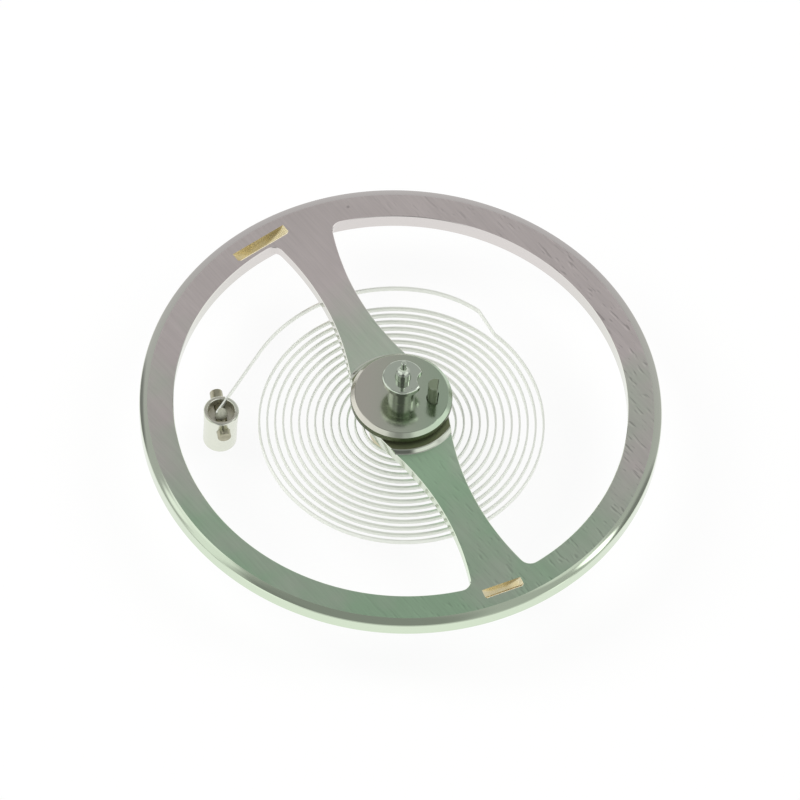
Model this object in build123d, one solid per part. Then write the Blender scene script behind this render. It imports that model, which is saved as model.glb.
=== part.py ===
from build123d import *
import math
import os

# The complete balance of a mechanical watch, lying roller side up. Lengths are in millimetres, angles in degrees.
# The origin is the tip of the pivot on the hairspring side. +Z runs up the staff to the roller side, and the
# hairspring's stud lies on -X. Directions round the staff are counted counterclockwise from +X, seen from +Z.

# Rim of the balance wheel
rim_radius = 5.0
rim_width = 0.645
rim_thickness = 0.35
rim_bevel_width = 0.078
rim_bevel_drop = 0.021
rim_outer_bevel_width = 0.07
rim_outer_bevel_drop = 0.032
rim_edge_break = 0.025

# Arms and hub, cut from the same blank as the rim
arm_direction = 118.4
arm_thickness = 0.2
arm_waist_width = 0.686
arm_waist_from_axis = 2.65
arm_edge_radius = 5.56
arm_root_from_axis = 0.85
arm_corner_radius = 0.21
hub_width = 1.56
boss_radius = 1.15
boss_height = 0.05
boss_chamfer_width = 0.07

# Poising pockets, milled into the rim's roller side by a disc cutter that leaves an arc-shaped floor
pocket_cutter_radius = 1.0
near_pocket_length = 0.8
near_pocket_width = 0.2
near_pocket_land = 0.098
near_pocket_direction = -62.3
near_pocket_turn = -1.5
far_pocket_length = 1.2
far_pocket_width = 0.215
far_pocket_land = 0.067
far_pocket_direction = 129.0
far_pocket_turn = 0.0

# Balance staff: lengths of its lands, from the lower pivot up, and their radii
pivot_radius = 0.05
pivot_length = 0.18
pivot_dome = 0.02
lower_cone_length = 0.14
lower_shoulder_length = 0.34
lower_shoulder_radius = 0.22
collet_seat_length = 0.79
collet_seat_radius = 0.36
rivet_lip_thickness = 0.05
rivet_lip_radius = 0.62
balance_seat_radius = 0.5
flange_thickness = 0.075
flange_radius = 0.64
table_seat_radius = 0.22
safety_seat_foot_radius = 0.165
safety_seat_end_radius = 0.145
safety_seat_overhang = 0.18
upper_cone_length = 0.12
cone_base_radius = 0.13
staff_edge_break = 0.015

# Roller table
table_radius = 0.975
table_thickness = 0.24
table_lower_chamfer = 0.03
table_bevel_width = 0.08
table_bevel_drop = 0.085

# Safety roller, with the crescent that lets the guard pin pass
safety_radius = 0.39
safety_thickness = 0.14
safety_chamfer = 0.02
safety_neck_radius = 0.262
safety_neck_height = 0.448
crescent_radius = 0.25
crescent_land = 0.012

# Impulse jewel, a D-section column set in the table, and the shellac that holds it from below
jewel_direction = -5.1
jewel_from_axis = 0.63
jewel_radius = 0.14
jewel_flat_from_centre = 0.06
jewel_height = 0.48
jewel_clearance = 0.01
jewel_edge_break = 0.015
shellac_radius = 0.21
shellac_depth = 0.08
shellac_floor = 0.03

# Collet, a split ring, and the pin that wedges the hairspring in its cross hole
collet_radius = 0.58
collet_height = 0.5
collet_chamfer = 0.03
collet_slit_width = 0.05
collet_hole_radius = 0.07
collet_hole_direction = 8.9
collet_pin_overhang = 0.05

# Hairspring: a flat strip in a spiral of half-turn arcs, with a knee and a shoulder up to a wider outer arc
strip_thickness = 0.04
strip_height = 0.12
strip_below_rim_top = 0.6
first_coil_off_collet = 0.0955
coil_pitch = 0.153
coil_half_turns = 28
last_coil_direction = 50.9
elbow_radius = 0.12
knee_radius = 0.06
knee_rise = 0.329
shoulder_radius = 2.4
shoulder_turn = 29.0
shoulder_end_direction = 84.9
strip_inner_tail = 0.3
strip_outer_tail = 0.05

# Stud: a cupped head on a post, crossed by a taper pin, with a bead of cement on the strip's end
stud_direction = 180.0
stud_outside_arc = 0.314
strip_outside_stud_middle = 0.075
stud_head_radius = 0.338
stud_head_height = 0.42
stud_head_rise = 0.02
stud_post_radius = 0.323
stud_post_length = 0.55
stud_edge_break = 0.02
stud_cup_radius = 0.262
stud_cup_depth = 0.2
stud_slot_clearance = 0.01
stud_pin_turn = 12.0
stud_pin_drop = 0.28
stud_pin_far_reach = 0.61
stud_pin_near_reach = 0.45
stud_pin_far_radius = 0.124
stud_pin_near_radius = 0.13
stud_pin_edge_break = 0.02
cement_radius = 0.13

# One overrun serves every cut that runs past a face
overrun = 0.2

# Heights along the staff, worked out from the lengths above
lower_cone_start = pivot_length
lower_shoulder_start = lower_cone_start + lower_cone_length
collet_seat_start = lower_shoulder_start + lower_shoulder_length
rivet_lip_start = collet_seat_start + collet_seat_length
arm_bottom = rivet_lip_start + rivet_lip_thickness
rim_top = arm_bottom + arm_thickness
rim_bottom = rim_top - rim_thickness
boss_top = rim_top + boss_height
table_bottom = boss_top + flange_thickness
table_top = table_bottom + table_thickness
safety_disc_bottom = table_top + safety_neck_height
safety_top = safety_disc_bottom + safety_thickness
upper_cone_start = safety_top + safety_seat_overhang
upper_pivot_start = upper_cone_start + upper_cone_length
staff_length = upper_pivot_start + pivot_length
strip_top = rim_top - strip_below_rim_top
strip_bottom = strip_top - strip_height
strip_middle = (strip_top + strip_bottom) / 2
stud_top = strip_top + stud_head_rise
stud_head_bottom = stud_top - stud_head_height
stud_bottom = stud_head_bottom - stud_post_length
rim_inner_radius = rim_radius - rim_width

# Radii of the hairspring and the stud's place, worked out from the collet outwards
first_coil_radius = collet_radius + first_coil_off_collet
last_coil_radius = first_coil_radius + (coil_half_turns - 1) * coil_pitch / 2 + coil_pitch / 4
outer_arc_radius = last_coil_radius + knee_rise
stud_from_axis = outer_arc_radius + stud_outside_arc


def polar(radius, direction, height=0.0):
    """A point at a distance from the staff's axis, in a direction round it."""
    turn = math.radians(direction)
    return Vector(radius * math.cos(turn), radius * math.sin(turn), height)


def distinct(outline):
    """The (radius, height) corners of an outline as points, without any that repeat the one before."""
    corners = []
    for radius, height in outline:
        if not corners or corners[-1] != (radius, 0, height):
            corners.append((radius, 0, height))
    return corners


def turned(outline):
    """A solid turned about the staff's axis from (radius, height) corners."""
    return revolve(make_face(Polyline(*distinct(outline), close=True)), Axis.Z)


def disc(radius, low, high, low_chamfer=0.0, high_chamfer=0.0, high_drop=None):
    """The corners of a turned disc that reaches the axis. The upper chamfer is even unless its drop is given."""
    drop = high_chamfer if high_drop is None else high_drop
    return [
        (0, low),
        (radius - low_chamfer, low),
        (radius, low + low_chamfer),
        (radius, high - drop),
        (radius - high_chamfer, high),
        (0, high),
    ]


def upright(radius, low, high, centre=Vector(0, 0, 0)):
    """A plain upright cylinder between two heights."""
    return Pos(centre.X, centre.Y, low) * Cylinder(
        radius, high - low, align=(Align.CENTER, Align.CENTER, Align.MIN)
    )


# Balance wheel
def arm_half_width(along):
    """Half the arm's width at a distance from the axis, on its concave edge arc."""
    off_waist = along - arm_waist_from_axis
    sag = arm_edge_radius - math.sqrt(arm_edge_radius**2 - off_waist**2)
    return arm_waist_width / 2 + sag


def arms_outline():
    """The two arms and the hub seen along the staff, reaching into the rim."""
    root = (arm_root_from_axis, arm_half_width(arm_root_from_axis))
    waist = (arm_waist_from_axis, arm_waist_width / 2)
    reach = rim_inner_radius + rim_width / 2
    end = (reach, arm_half_width(reach))
    edges = []
    for side in (1, -1):
        for way in (1, -1):
            points = [(way * along, side * half) for along, half in (root, waist, end)]
            edges.append(ThreePointArc(*points))
        hub = [(root[0], side * root[1]), (0, side * hub_width / 2), (-root[0], side * root[1])]
        edges.append(ThreePointArc(*hub))
    for way in (1, -1):
        edges.append(Line((way * end[0], end[1]), (way * end[0], -end[1])))
    return Rot(0, 0, arm_direction) * make_face(edges)


def windows_outline(arms):
    """The two windows between the arms and the rim, with their corners at the rim rounded."""
    windows = Circle(rim_inner_radius) - arms
    nearly_the_rim = rim_inner_radius - arm_corner_radius
    corners = [v for v in windows.vertices() if math.hypot(v.X, v.Y) > nearly_the_rim]
    return fillet(corners, arm_corner_radius)


def pocket_cutter(length, width, land, direction, turn):
    """The disc that mills one poising pocket, as long as the chord it leaves in the rim's face."""
    depth = pocket_cutter_radius - math.sqrt(pocket_cutter_radius**2 - (length / 2) ** 2)
    centre = polar(rim_inner_radius + land + width / 2, direction, rim_top + pocket_cutter_radius - depth)
    cutter = Rot(0, 90, 0) * Cylinder(pocket_cutter_radius, width)
    return Pos(centre) * Rot(0, 0, direction + turn) * cutter


def make_balance_wheel():
    # the rim's outer edge has two bevels, and the outer one is steeper
    between_bevels = (rim_radius - rim_outer_bevel_width, rim_top - rim_bevel_drop)
    rim = turned(
        [
            (rim_inner_radius, rim_bottom),
            (rim_radius - rim_edge_break, rim_bottom),
            (rim_radius, rim_bottom + rim_edge_break),
            (rim_radius, between_bevels[1] - rim_outer_bevel_drop),
            between_bevels,
            (between_bevels[0] - rim_bevel_width, rim_top),
            (rim_inner_radius, rim_top),
        ]
    )
    arms = arms_outline()
    web = Circle(rim_inner_radius + rim_width / 2) - windows_outline(arms)
    wheel = rim + Pos(0, 0, arm_bottom) * extrude(web, arm_thickness)
    boss = turned(disc(boss_radius, arm_bottom, boss_top, 0.0, boss_chamfer_width, boss_height))
    wheel += boss & Pos(0, 0, arm_bottom) * extrude(arms, arm_thickness + boss_height)
    wheel -= upright(balance_seat_radius, arm_bottom - overrun, boss_top + overrun)
    wheel -= pocket_cutter(
        near_pocket_length, near_pocket_width, near_pocket_land, near_pocket_direction, near_pocket_turn
    )
    wheel -= pocket_cutter(
        far_pocket_length, far_pocket_width, far_pocket_land, far_pocket_direction, far_pocket_turn
    )
    return wheel


# Balance staff
def make_balance_staff():
    """A turned arbor: domed pivots, concave cones, seats for the collet, wheel and rollers, and a riveted lip.

    The seat of the safety roller is slightly tapered.
    """
    lands = [
        (lower_shoulder_radius, lower_shoulder_start, collet_seat_start),
        (collet_seat_radius, collet_seat_start, rivet_lip_start),
        (rivet_lip_radius, rivet_lip_start, arm_bottom),
        (balance_seat_radius, arm_bottom, boss_top),
        (flange_radius, boss_top, table_bottom),
        (table_seat_radius, table_bottom, table_top),
    ]
    corners = [(cone_base_radius, lower_shoulder_start)]
    radii = [cone_base_radius, *[land[0] for land in lands], safety_seat_foot_radius]
    for number, (radius, low, high) in enumerate(lands):
        # an outer corner is broken, an inner one is where the next land starts
        low_break = staff_edge_break if radius > radii[number] else 0.0
        high_break = staff_edge_break if radius > radii[number + 2] else 0.0
        corners += [(radius - low_break, low), (radius, low + low_break)]
        corners += [(radius, high - high_break), (radius - high_break, high)]
    corners += [(safety_seat_foot_radius, table_top), (safety_seat_end_radius, upper_cone_start)]
    corners.append((cone_base_radius, upper_cone_start))
    kept = distinct(corners)
    lower_root = (pivot_radius, 0, lower_cone_start)
    upper_root = (pivot_radius, 0, upper_pivot_start)
    lower_dome = (pivot_radius, 0, pivot_dome)
    upper_dome = (pivot_radius, 0, staff_length - pivot_dome)
    edges = [
        TangentArc((0, 0, 0), lower_dome, tangent=(1, 0, 0)),
        Line(lower_dome, lower_root),
        TangentArc(lower_root, kept[0], tangent=(0, 0, 1)),
        Polyline(*kept),
        TangentArc(upper_root, kept[-1], tangent=(0, 0, -1)),
        Line(upper_root, upper_dome),
        TangentArc((0, 0, staff_length), upper_dome, tangent=(1, 0, 0)),
        Line((0, 0, staff_length), (0, 0, 0)),
    ]
    return revolve(make_face(edges), Axis.Z)


# Rollers and impulse jewel
jewel_centre = polar(jewel_from_axis, jewel_direction)


def jewel_outline(growth=0.0):
    """The D of the jewel's section, its flat facing outwards. Growth widens it all round."""
    radius = jewel_radius + growth
    flat = jewel_flat_from_centre + growth
    box = Pos(flat - radius, 0) * Rectangle(2 * radius, 2 * radius)
    return Pos(jewel_centre) * Rot(0, 0, jewel_direction) * (Circle(radius) & box)


def make_roller_table():
    edges = (table_lower_chamfer, table_bevel_width, table_bevel_drop)
    table = turned(disc(table_radius, table_bottom, table_top, *edges))
    table -= upright(table_seat_radius, table_bottom - overrun, table_top + overrun)
    table -= upright(shellac_radius, table_bottom - overrun, table_bottom + shellac_depth, jewel_centre)
    through = extrude(jewel_outline(jewel_clearance), table_thickness + 2 * overrun)
    return table - Pos(0, 0, table_bottom - overrun) * through


def make_impulse_jewel():
    foot = table_bottom + shellac_floor
    column = Pos(0, 0, foot) * extrude(jewel_outline(), table_top + jewel_height - foot)
    return chamfer(column.faces().sort_by(Axis.Z)[-1].edges(), jewel_edge_break)


def make_jewel_shellac():
    bead = upright(shellac_radius, table_bottom, table_bottom + shellac_depth, jewel_centre)
    return bead - make_impulse_jewel()


def make_safety_roller():
    neck = upright(safety_neck_radius, table_top, safety_disc_bottom)
    top = turned(disc(safety_radius, safety_disc_bottom, safety_top, safety_chamfer, safety_chamfer))
    taper = [(0, table_top), (safety_seat_foot_radius, table_top), (safety_seat_end_radius, upper_cone_start)]
    roller = neck + top - turned([*taper, (0, upper_cone_start)])
    notch_centre = polar(safety_neck_radius + crescent_land + crescent_radius, jewel_direction)
    return roller - upright(crescent_radius, safety_disc_bottom, safety_top + overrun, notch_centre)


# Collet and its pin
collet_hole_from_axis = (collet_seat_radius + collet_radius) / 2
collet_bottom = strip_middle - collet_height / 2
collet_top = strip_middle + collet_height / 2
collet_frame = Pos(0, 0, strip_middle) * Rot(0, 0, collet_hole_direction)
pin_flat_from_axis = collet_hole_from_axis - strip_thickness / 2


def collet_cross_cylinder(length):
    """A cylinder along the collet's cross hole, which runs beside the staff at right angles to it."""
    return collet_frame * Pos(collet_hole_from_axis, 0, 0) * Rot(90, 0, 0) * Cylinder(collet_hole_radius, length)


def make_collet():
    ring = turned(disc(collet_radius, collet_bottom, collet_top, collet_chamfer, collet_chamfer))
    ring -= upright(collet_seat_radius, collet_bottom - overrun, collet_top + overrun)
    ring -= collet_cross_cylinder(2 * collet_radius)
    slit = Pos(-collet_radius, 0, 0) * Box(2 * collet_radius, collet_slit_width, collet_height + overrun)
    return ring - collet_frame * slit


def make_collet_pin():
    """A round pin with a flat that presses the strip against the outer side of the hole."""
    mouth = math.sqrt(collet_radius**2 - pin_flat_from_axis**2)
    pin = collet_cross_cylinder(2 * (mouth + collet_pin_overhang))
    far_side = Pos(pin_flat_from_axis + collet_hole_radius, 0, 0)
    beyond_flat = Box(2 * collet_hole_radius, 2 * collet_radius + overrun, 2 * collet_hole_radius)
    return pin - collet_frame * far_side * beyond_flat


# Hairspring
def heading_vector(heading):
    return Vector(math.cos(math.radians(heading)), math.sin(math.radians(heading)))


class Strip:
    """The route of the hairspring, built piece by piece, each tangent to the last."""

    def __init__(self, start, heading):
        self.point, self.heading = start, heading
        self.runs = []

    def straight(self, length):
        self.runs.append((self.point, self.heading, length, 0.0))
        self.point = self.point + heading_vector(self.heading) * length

    def bend(self, radius, turn):
        """An arc that turns left for a positive angle and right for a negative one."""
        self.runs.append((self.point, self.heading, radius, turn))
        side = math.copysign(1, turn)
        centre = self.point + heading_vector(self.heading + side * 90) * radius
        self.heading += turn
        self.point = centre - heading_vector(self.heading + side * 90) * radius

    def beside(self, run, share, offset):
        """A point on one run, at a share of its length, moved to the left of the strip by an offset."""
        start, heading, size, turn = run
        if turn == 0.0:
            there, now = start + heading_vector(heading) * size * share, heading
        else:
            side = math.copysign(1, turn)
            now = heading + turn * share
            centre = start + heading_vector(heading + side * 90) * size
            there = centre - heading_vector(now + side * 90) * size
        return there + heading_vector(now + 90) * offset

    def edges(self, offset):
        """The line beside the route, as lines and arcs."""
        made = []
        for run in self.runs:
            first, middle, last = [self.beside(run, share, offset) for share in (0, 0.5, 1)]
            made.append(Line(first, last) if run[3] == 0.0 else ThreePointArc(first, middle, last))
        return made

    def length(self):
        return sum(size if turn == 0.0 else size * math.radians(abs(turn)) for _, _, size, turn in self.runs)


def direction_of(vector):
    return math.degrees(math.atan2(vector.Y, vector.X))


def turn_between(start, end):
    """The left turn from one heading to another, from 0 up to a whole turn."""
    return (end - start) % 360


def hairspring_route():
    """From the collet's hole by an elbow into the coils, then over the knee to the outer arc and the stud."""
    # the spiral has two centres, a half pitch apart, and each half turn is a half pitch wider than the last
    radii = [first_coil_radius + number * coil_pitch / 2 for number in range(coil_half_turns)]
    first_side = -1 if coil_half_turns % 2 == 0 else 1
    first_centre = polar(first_side * coil_pitch / 4, last_coil_direction)

    # the elbow lies inside the first coil and touches it, and the strip's straight end is tangent to the elbow
    outwards = polar(1, collet_hole_direction)
    along = polar(1, collet_hole_direction + 90)
    inner = outwards * (collet_hole_from_axis - elbow_radius) - first_centre
    reach = radii[0] - elbow_radius
    run = math.sqrt(inner.dot(along) ** 2 - inner.dot(inner) + reach**2) - inner.dot(along)
    elbow_centre = inner + along * run
    strip = Strip(outwards * collet_hole_from_axis - along * strip_inner_tail, collet_hole_direction + 90)
    strip.straight(run + strip_inner_tail)
    touch = direction_of(elbow_centre)
    strip.bend(elbow_radius, turn_between(collet_hole_direction, touch))
    first_joint = last_coil_direction + (180 if first_side == -1 else 0)
    strip.bend(radii[0], turn_between(touch, first_joint))
    for radius in radii[1:]:
        strip.bend(radius, 180)

    # the knee: a right-hand bend, a straight climb and a left-hand bend that ends on the shoulder
    right_centre = strip.point + polar(knee_radius, last_coil_direction)
    shoulder_start_direction = shoulder_end_direction - shoulder_turn
    shoulder_centre = polar(outer_arc_radius - shoulder_radius, shoulder_end_direction)
    left_centre = shoulder_centre + polar(shoulder_radius - knee_radius, shoulder_start_direction)
    across = left_centre - right_centre
    climb = direction_of(across) - math.degrees(math.asin(2 * knee_radius / across.length))
    strip.bend(knee_radius, -turn_between(climb, last_coil_direction + 90))
    strip.straight(math.sqrt(across.length**2 - (2 * knee_radius) ** 2))
    strip.bend(knee_radius, turn_between(climb, shoulder_start_direction + 90))

    # the shoulder meets the outer arc, which ends where its tangent runs just outside the middle of the stud
    strip.bend(shoulder_radius, shoulder_turn)
    aim = stud_from_axis + strip_outside_stud_middle
    tangent_direction = stud_direction - math.degrees(math.acos(outer_arc_radius / aim))
    strip.bend(outer_arc_radius, tangent_direction - shoulder_end_direction)
    strip.straight(math.sqrt(aim**2 - outer_arc_radius**2) + strip_outer_tail)
    return strip


hairspring = hairspring_route()


def make_hairspring():
    half = strip_thickness / 2
    left, right = hairspring.edges(half), hairspring.edges(-half)
    first, last = hairspring.runs[0], hairspring.runs[-1]
    ends = [Line(*[hairspring.beside(run, share, side * half) for side in (1, -1)])
            for run, share in ((first, 0), (last, 1))]
    strip = extrude(make_face([*left, *right, *ends]), strip_height)
    return Pos(0, 0, strip_bottom) * strip


def least_gap_between_coils():
    """The smallest space between the strip and itself, measured on points a half turn or more apart."""
    points_per_run = 24
    points, travelled, along = [], [], 0.0
    for run in hairspring.runs:
        size = run[2] if run[3] == 0.0 else run[2] * math.radians(abs(run[3]))
        for number in range(points_per_run):
            share = number / points_per_run
            points.append(hairspring.beside(run, share, 0.0))
            travelled.append(along + share * size)
        along += size
    apart = math.pi * collet_radius
    least = min(
        math.hypot(points[i].X - points[j].X, points[i].Y - points[j].Y)
        for i in range(len(points))
        for j in range(i)
        if travelled[i] - travelled[j] > apart
    )
    return least - strip_thickness


# Stud, its pin and the cement
stud_centre = polar(stud_from_axis, stud_direction)
stud_frame = Pos(stud_centre.X, stud_centre.Y, 0) * Rot(0, 0, stud_direction)
stud_pin_height = stud_top - stud_pin_drop


def make_stud_pin():
    """A taper pin across the stud, a little off the tangent, longer on the far side."""
    length = stud_pin_far_reach + stud_pin_near_reach
    pin = Cone(
        stud_pin_far_radius, stud_pin_near_radius, length, align=(Align.CENTER, Align.CENTER, Align.MIN)
    )
    pin = chamfer(pin.edges().filter_by(GeomType.CIRCLE), stud_pin_edge_break)
    laid = Rot(0, 0, stud_pin_turn) * Pos(0, -stud_pin_far_reach, stud_pin_height) * Rot(-90, 0, 0) * pin
    return stud_frame * laid


def make_hairspring_stud():
    stud = turned(
        [
            (0, stud_bottom),
            (stud_post_radius - stud_edge_break, stud_bottom),
            (stud_post_radius, stud_bottom + stud_edge_break),
            # the post ends here, and the head widens from it towards its top
            (stud_post_radius, stud_head_bottom),
            (stud_head_radius, stud_top - stud_edge_break),
            (stud_head_radius - stud_edge_break, stud_top),
            (0, stud_top),
        ]
    )
    stud -= upright(stud_cup_radius, stud_top - stud_cup_depth, stud_top + overrun)
    stud = Pos(stud_centre) * stud
    slot_width = strip_thickness + 2 * stud_slot_clearance
    slot_depth = stud_head_rise + strip_height + stud_slot_clearance
    slot = Box(
        2 * stud_head_radius, slot_width, slot_depth + overrun, align=(Align.MAX, Align.CENTER, Align.MIN)
    )
    way_in = Pos(hairspring.point.X, hairspring.point.Y, stud_top - slot_depth) * Rot(0, 0, hairspring.heading)
    return stud - way_in * slot - make_stud_pin()


def make_stud_cement():
    """A bead on top of the pin that holds the strip's end in the cup."""
    bead = Pos(stud_centre.X, stud_centre.Y, stud_top - cement_radius) * Sphere(cement_radius)
    floor = upright(cement_radius + overrun, stud_bottom, stud_top - stud_cup_depth, stud_centre)
    return bead - floor - make_stud_pin() - make_hairspring()


makers = {
    "balance_wheel": make_balance_wheel,
    "balance_staff": make_balance_staff,
    "roller_table": make_roller_table,
    "safety_roller": make_safety_roller,
    "impulse_jewel": make_impulse_jewel,
    "jewel_shellac": make_jewel_shellac,
    "collet": make_collet,
    "collet_pin": make_collet_pin,
    "hairspring": make_hairspring,
    "hairspring_stud": make_hairspring_stud,
    "stud_pin": make_stud_pin,
    "stud_cement": make_stud_cement,
}

os.makedirs("parts", exist_ok=True)
for name, make in makers.items():
    export_step(make(), f"parts/{name}.step")
print(f"hairspring: {hairspring.length():.1f} mm of strip, least gap between coils {least_gap_between_coils():.3f} mm")
print(f"staff {staff_length:.3f} mm, rim top at {rim_top:.3f} mm, stud from {stud_bottom:.3f} to {stud_top:.3f} mm")
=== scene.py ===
# %% [markdown]
# # A watch balance
# This notebook dresses the balance of a mechanical watch: the balance wheel on its staff, with the roller
# table, the impulse jewel and the safety roller above the arms, and the hairspring below them, held by
# its stud. The CAD solids arrive as a fixed frame. Each of them is modelled again here, finer and with
# its small edges, because a part this small is all edges and reflections. Then every surface gets the
# finish of the real one.

# %% Load the frame
import math

import bpy
import numpy as np
from mathutils import Matrix, Quaternion, Vector


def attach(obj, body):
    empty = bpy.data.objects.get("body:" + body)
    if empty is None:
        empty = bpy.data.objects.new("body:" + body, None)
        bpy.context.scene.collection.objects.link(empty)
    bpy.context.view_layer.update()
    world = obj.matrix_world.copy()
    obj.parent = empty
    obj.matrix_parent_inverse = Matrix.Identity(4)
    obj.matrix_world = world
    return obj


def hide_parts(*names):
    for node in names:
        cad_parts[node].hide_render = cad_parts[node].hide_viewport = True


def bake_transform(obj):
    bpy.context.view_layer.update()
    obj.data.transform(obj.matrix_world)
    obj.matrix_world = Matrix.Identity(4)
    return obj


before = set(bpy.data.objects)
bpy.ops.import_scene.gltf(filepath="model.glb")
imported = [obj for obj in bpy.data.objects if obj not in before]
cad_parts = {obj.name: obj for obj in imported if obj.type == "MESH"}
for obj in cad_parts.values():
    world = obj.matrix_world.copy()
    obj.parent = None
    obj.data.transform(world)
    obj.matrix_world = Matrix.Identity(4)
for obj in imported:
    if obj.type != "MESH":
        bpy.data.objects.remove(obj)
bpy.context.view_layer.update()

# %% [markdown]
# ## A workbench for small things
# The whole balance is 10 mm across, and its edges are a few hundredths of a millimetre wide. Blender's
# tools have limits that are meant for objects of about a metre, so every piece is modelled at one unit to
# the millimetre and is shrunk to metres when it is done. Operators act on everything that is selected, so
# one helper leaves just one piece selected, and others open it in edit mode, with everything picked or
# only the wanted elements. The CAD model counts its directions in degrees from +X, and so does this one.

# %% Start and select a piece
MM = 0.001


def heading_vector(heading):
    """The unit vector of a heading in degrees, counterclockwise from +X."""
    return Vector((math.cos(math.radians(heading)), math.sin(math.radians(heading))))


def select_only(piece):
    """Deselects everything, then selects one piece and makes it the active one."""
    bpy.ops.object.select_all(action="DESELECT")
    piece.select_set(True)
    bpy.context.view_layer.objects.active = piece


def start_piece(name):
    """Names the primitive that was just added, and moves its place and turn into its mesh."""
    piece = bpy.context.object
    piece.name = name
    select_only(piece)
    bpy.ops.object.transform_apply(location=True, rotation=True, scale=True)
    return piece


print(f"the workbench counts in units of {MM} m")

# %% Pick parts of a piece
PICK_VERTICES = (True, False, False)
PICK_EDGES = (False, True, False)
PICK_FACES = (False, False, True)
# a face looks in a direction if its unit normal reaches further than this that way
LOOKS_ALONG = 0.5


def edit_all(piece):
    """Opens the piece in edit mode with everything picked."""
    select_only(piece)
    bpy.ops.object.mode_set(mode="EDIT")
    bpy.ops.mesh.select_all(action="SELECT")


def edit_picked(piece, pick_mode, elements, wanted):
    """Opens the piece in edit mode with only the wanted ones of its vertices, edges or faces picked."""
    mesh = piece.data
    for kind in (mesh.vertices, mesh.edges, mesh.polygons):
        kind.foreach_set("select", np.zeros(len(kind), dtype=bool))
    for element in elements:
        element.select = wanted(element)
    bpy.context.tool_settings.mesh_select_mode = pick_mode
    select_only(piece)
    bpy.ops.object.mode_set(mode="EDIT")


def ends_of(piece, edge):
    """The places of an edge's two ends."""
    return [piece.data.vertices[index].co for index in edge.vertices]


def pick_faces(piece, wanted):
    """Opens the piece in edit mode with only the faces picked whose centre and normal are wanted."""
    edit_picked(piece, PICK_FACES, piece.data.polygons, lambda face: wanted(face.center, face.normal))


def pick_edges(piece, wanted):
    """Opens the piece in edit mode with only the edges picked whose two ends are wanted."""
    edit_picked(piece, PICK_EDGES, piece.data.edges, lambda edge: wanted(*ends_of(piece, edge)))


print("a piece can be picked whole, or by its vertices, edges or faces")

# %% [markdown]
# ## A lathe, a drill and a file
# Nearly every piece of a balance is turned. The lathe here starts from a filled circle and extrudes it
# upwards ring by ring, and each new ring is resized to the next radius of the profile. The Spin operator
# could sweep a profile too, but it leaves a pole of thin faces on the axis, and extruding keeps one flat
# cap at each end. A hole is then drilled with an exact Boolean, a bisecting plane files a flat, and the
# bevel operator breaks the sharp edges, as a file would.

# %% Turn a piece
LATHE_SIDES = 128


def face_outwards():
    """Turns the faces of the piece in edit mode outwards, and leaves edit mode."""
    bpy.ops.mesh.select_all(action="SELECT")
    bpy.ops.mesh.normals_make_consistent(inside=False)
    bpy.ops.object.mode_set(mode="OBJECT")


def turn_piece(name, profile, centre=(0.0, 0.0), sides=LATHE_SIDES):
    """Turns a solid about an upright axis from its (radius, height) profile, from the bottom up."""
    bpy.ops.object.select_all(action="DESELECT")
    radius, height = profile[0]
    place = (centre[0], centre[1], height)
    bpy.ops.mesh.primitive_circle_add(vertices=sides, radius=radius, fill_type="NGON", location=place)
    piece = start_piece(name)
    bpy.context.tool_settings.mesh_select_mode = PICK_FACES
    edit_all(piece)
    for next_radius, next_height in profile[1:]:
        bpy.ops.mesh.extrude_region_move(TRANSFORM_OT_translate={"value": (0, 0, next_height - height)})
        share = next_radius / radius
        top = (centre[0], centre[1], next_height)
        bpy.ops.transform.resize(value=(share, share, 1), center_override=top)
        radius, height = next_radius, next_height
    face_outwards()
    return piece


print(f"the lathe goes round in {LATHE_SIDES} steps")

# %% Cut a piece and break its edges
SHARP_ABOVE = 25.0


def cut_away(piece, cutter):
    """Takes the cutter's shape out of the piece, and the cutter out of the scene."""
    select_only(piece)
    cut = piece.modifiers.new("cut", "BOOLEAN")
    cut.operation = "DIFFERENCE"
    cut.solver = "EXACT"
    cut.object = cutter
    bpy.ops.object.modifier_apply(modifier=cut.name)
    bpy.data.objects.remove(cutter)


def drill(piece, radius, low, high, centre=(0.0, 0.0), sides=LATHE_SIDES):
    """Drills an upright round hole between two heights."""
    cut_away(piece, turn_piece("drill", [(radius, low), (radius, high)], centre, sides))


def file_flat(piece, point, normal, keep_outer=False):
    """Cuts the piece along a plane and closes it. What lies on the normal's side goes, or stays."""
    edit_all(piece)
    bpy.ops.mesh.bisect(
        plane_co=point, plane_no=normal, use_fill=True, clear_outer=not keep_outer, clear_inner=keep_outer
    )
    bpy.ops.object.mode_set(mode="OBJECT")


def break_edges(piece, width, wanted=lambda first, second: True, sharp_above=SHARP_ABOVE, steps=1):
    """Bevels the edges that are sharper than an angle and whose two ends are wanted."""
    pick_edges(piece, lambda first, second: False)
    bpy.ops.mesh.edges_select_sharp(sharpness=math.radians(sharp_above))
    bpy.ops.object.mode_set(mode="OBJECT")
    sharp = {edge.index for edge in piece.data.edges if edge.select}
    edit_picked(
        piece,
        PICK_EDGES,
        piece.data.edges,
        lambda edge: edge.index in sharp and wanted(*ends_of(piece, edge)),
    )
    bpy.ops.mesh.bevel(offset=width, segments=steps, affect="EDGES", clamp_overlap=False)
    bpy.ops.object.mode_set(mode="OBJECT")


print(f"an edge is sharp above {SHARP_ABOVE} degrees")

# %% [markdown]
# ## Handing a piece over
# A finished piece has its doubles merged and its normals turned outwards, and is shaded smooth wherever
# two faces meet at a small angle. It is then shrunk to metres, tied to the body that it moves with, and
# put in the place of its CAD solid. Turning the normals outwards is a guess by the face that lies furthest
# out, and it can leave a small flatted pin inside out. So the volume that the faces enclose is measured as
# well, and a negative one flips them.

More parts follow.
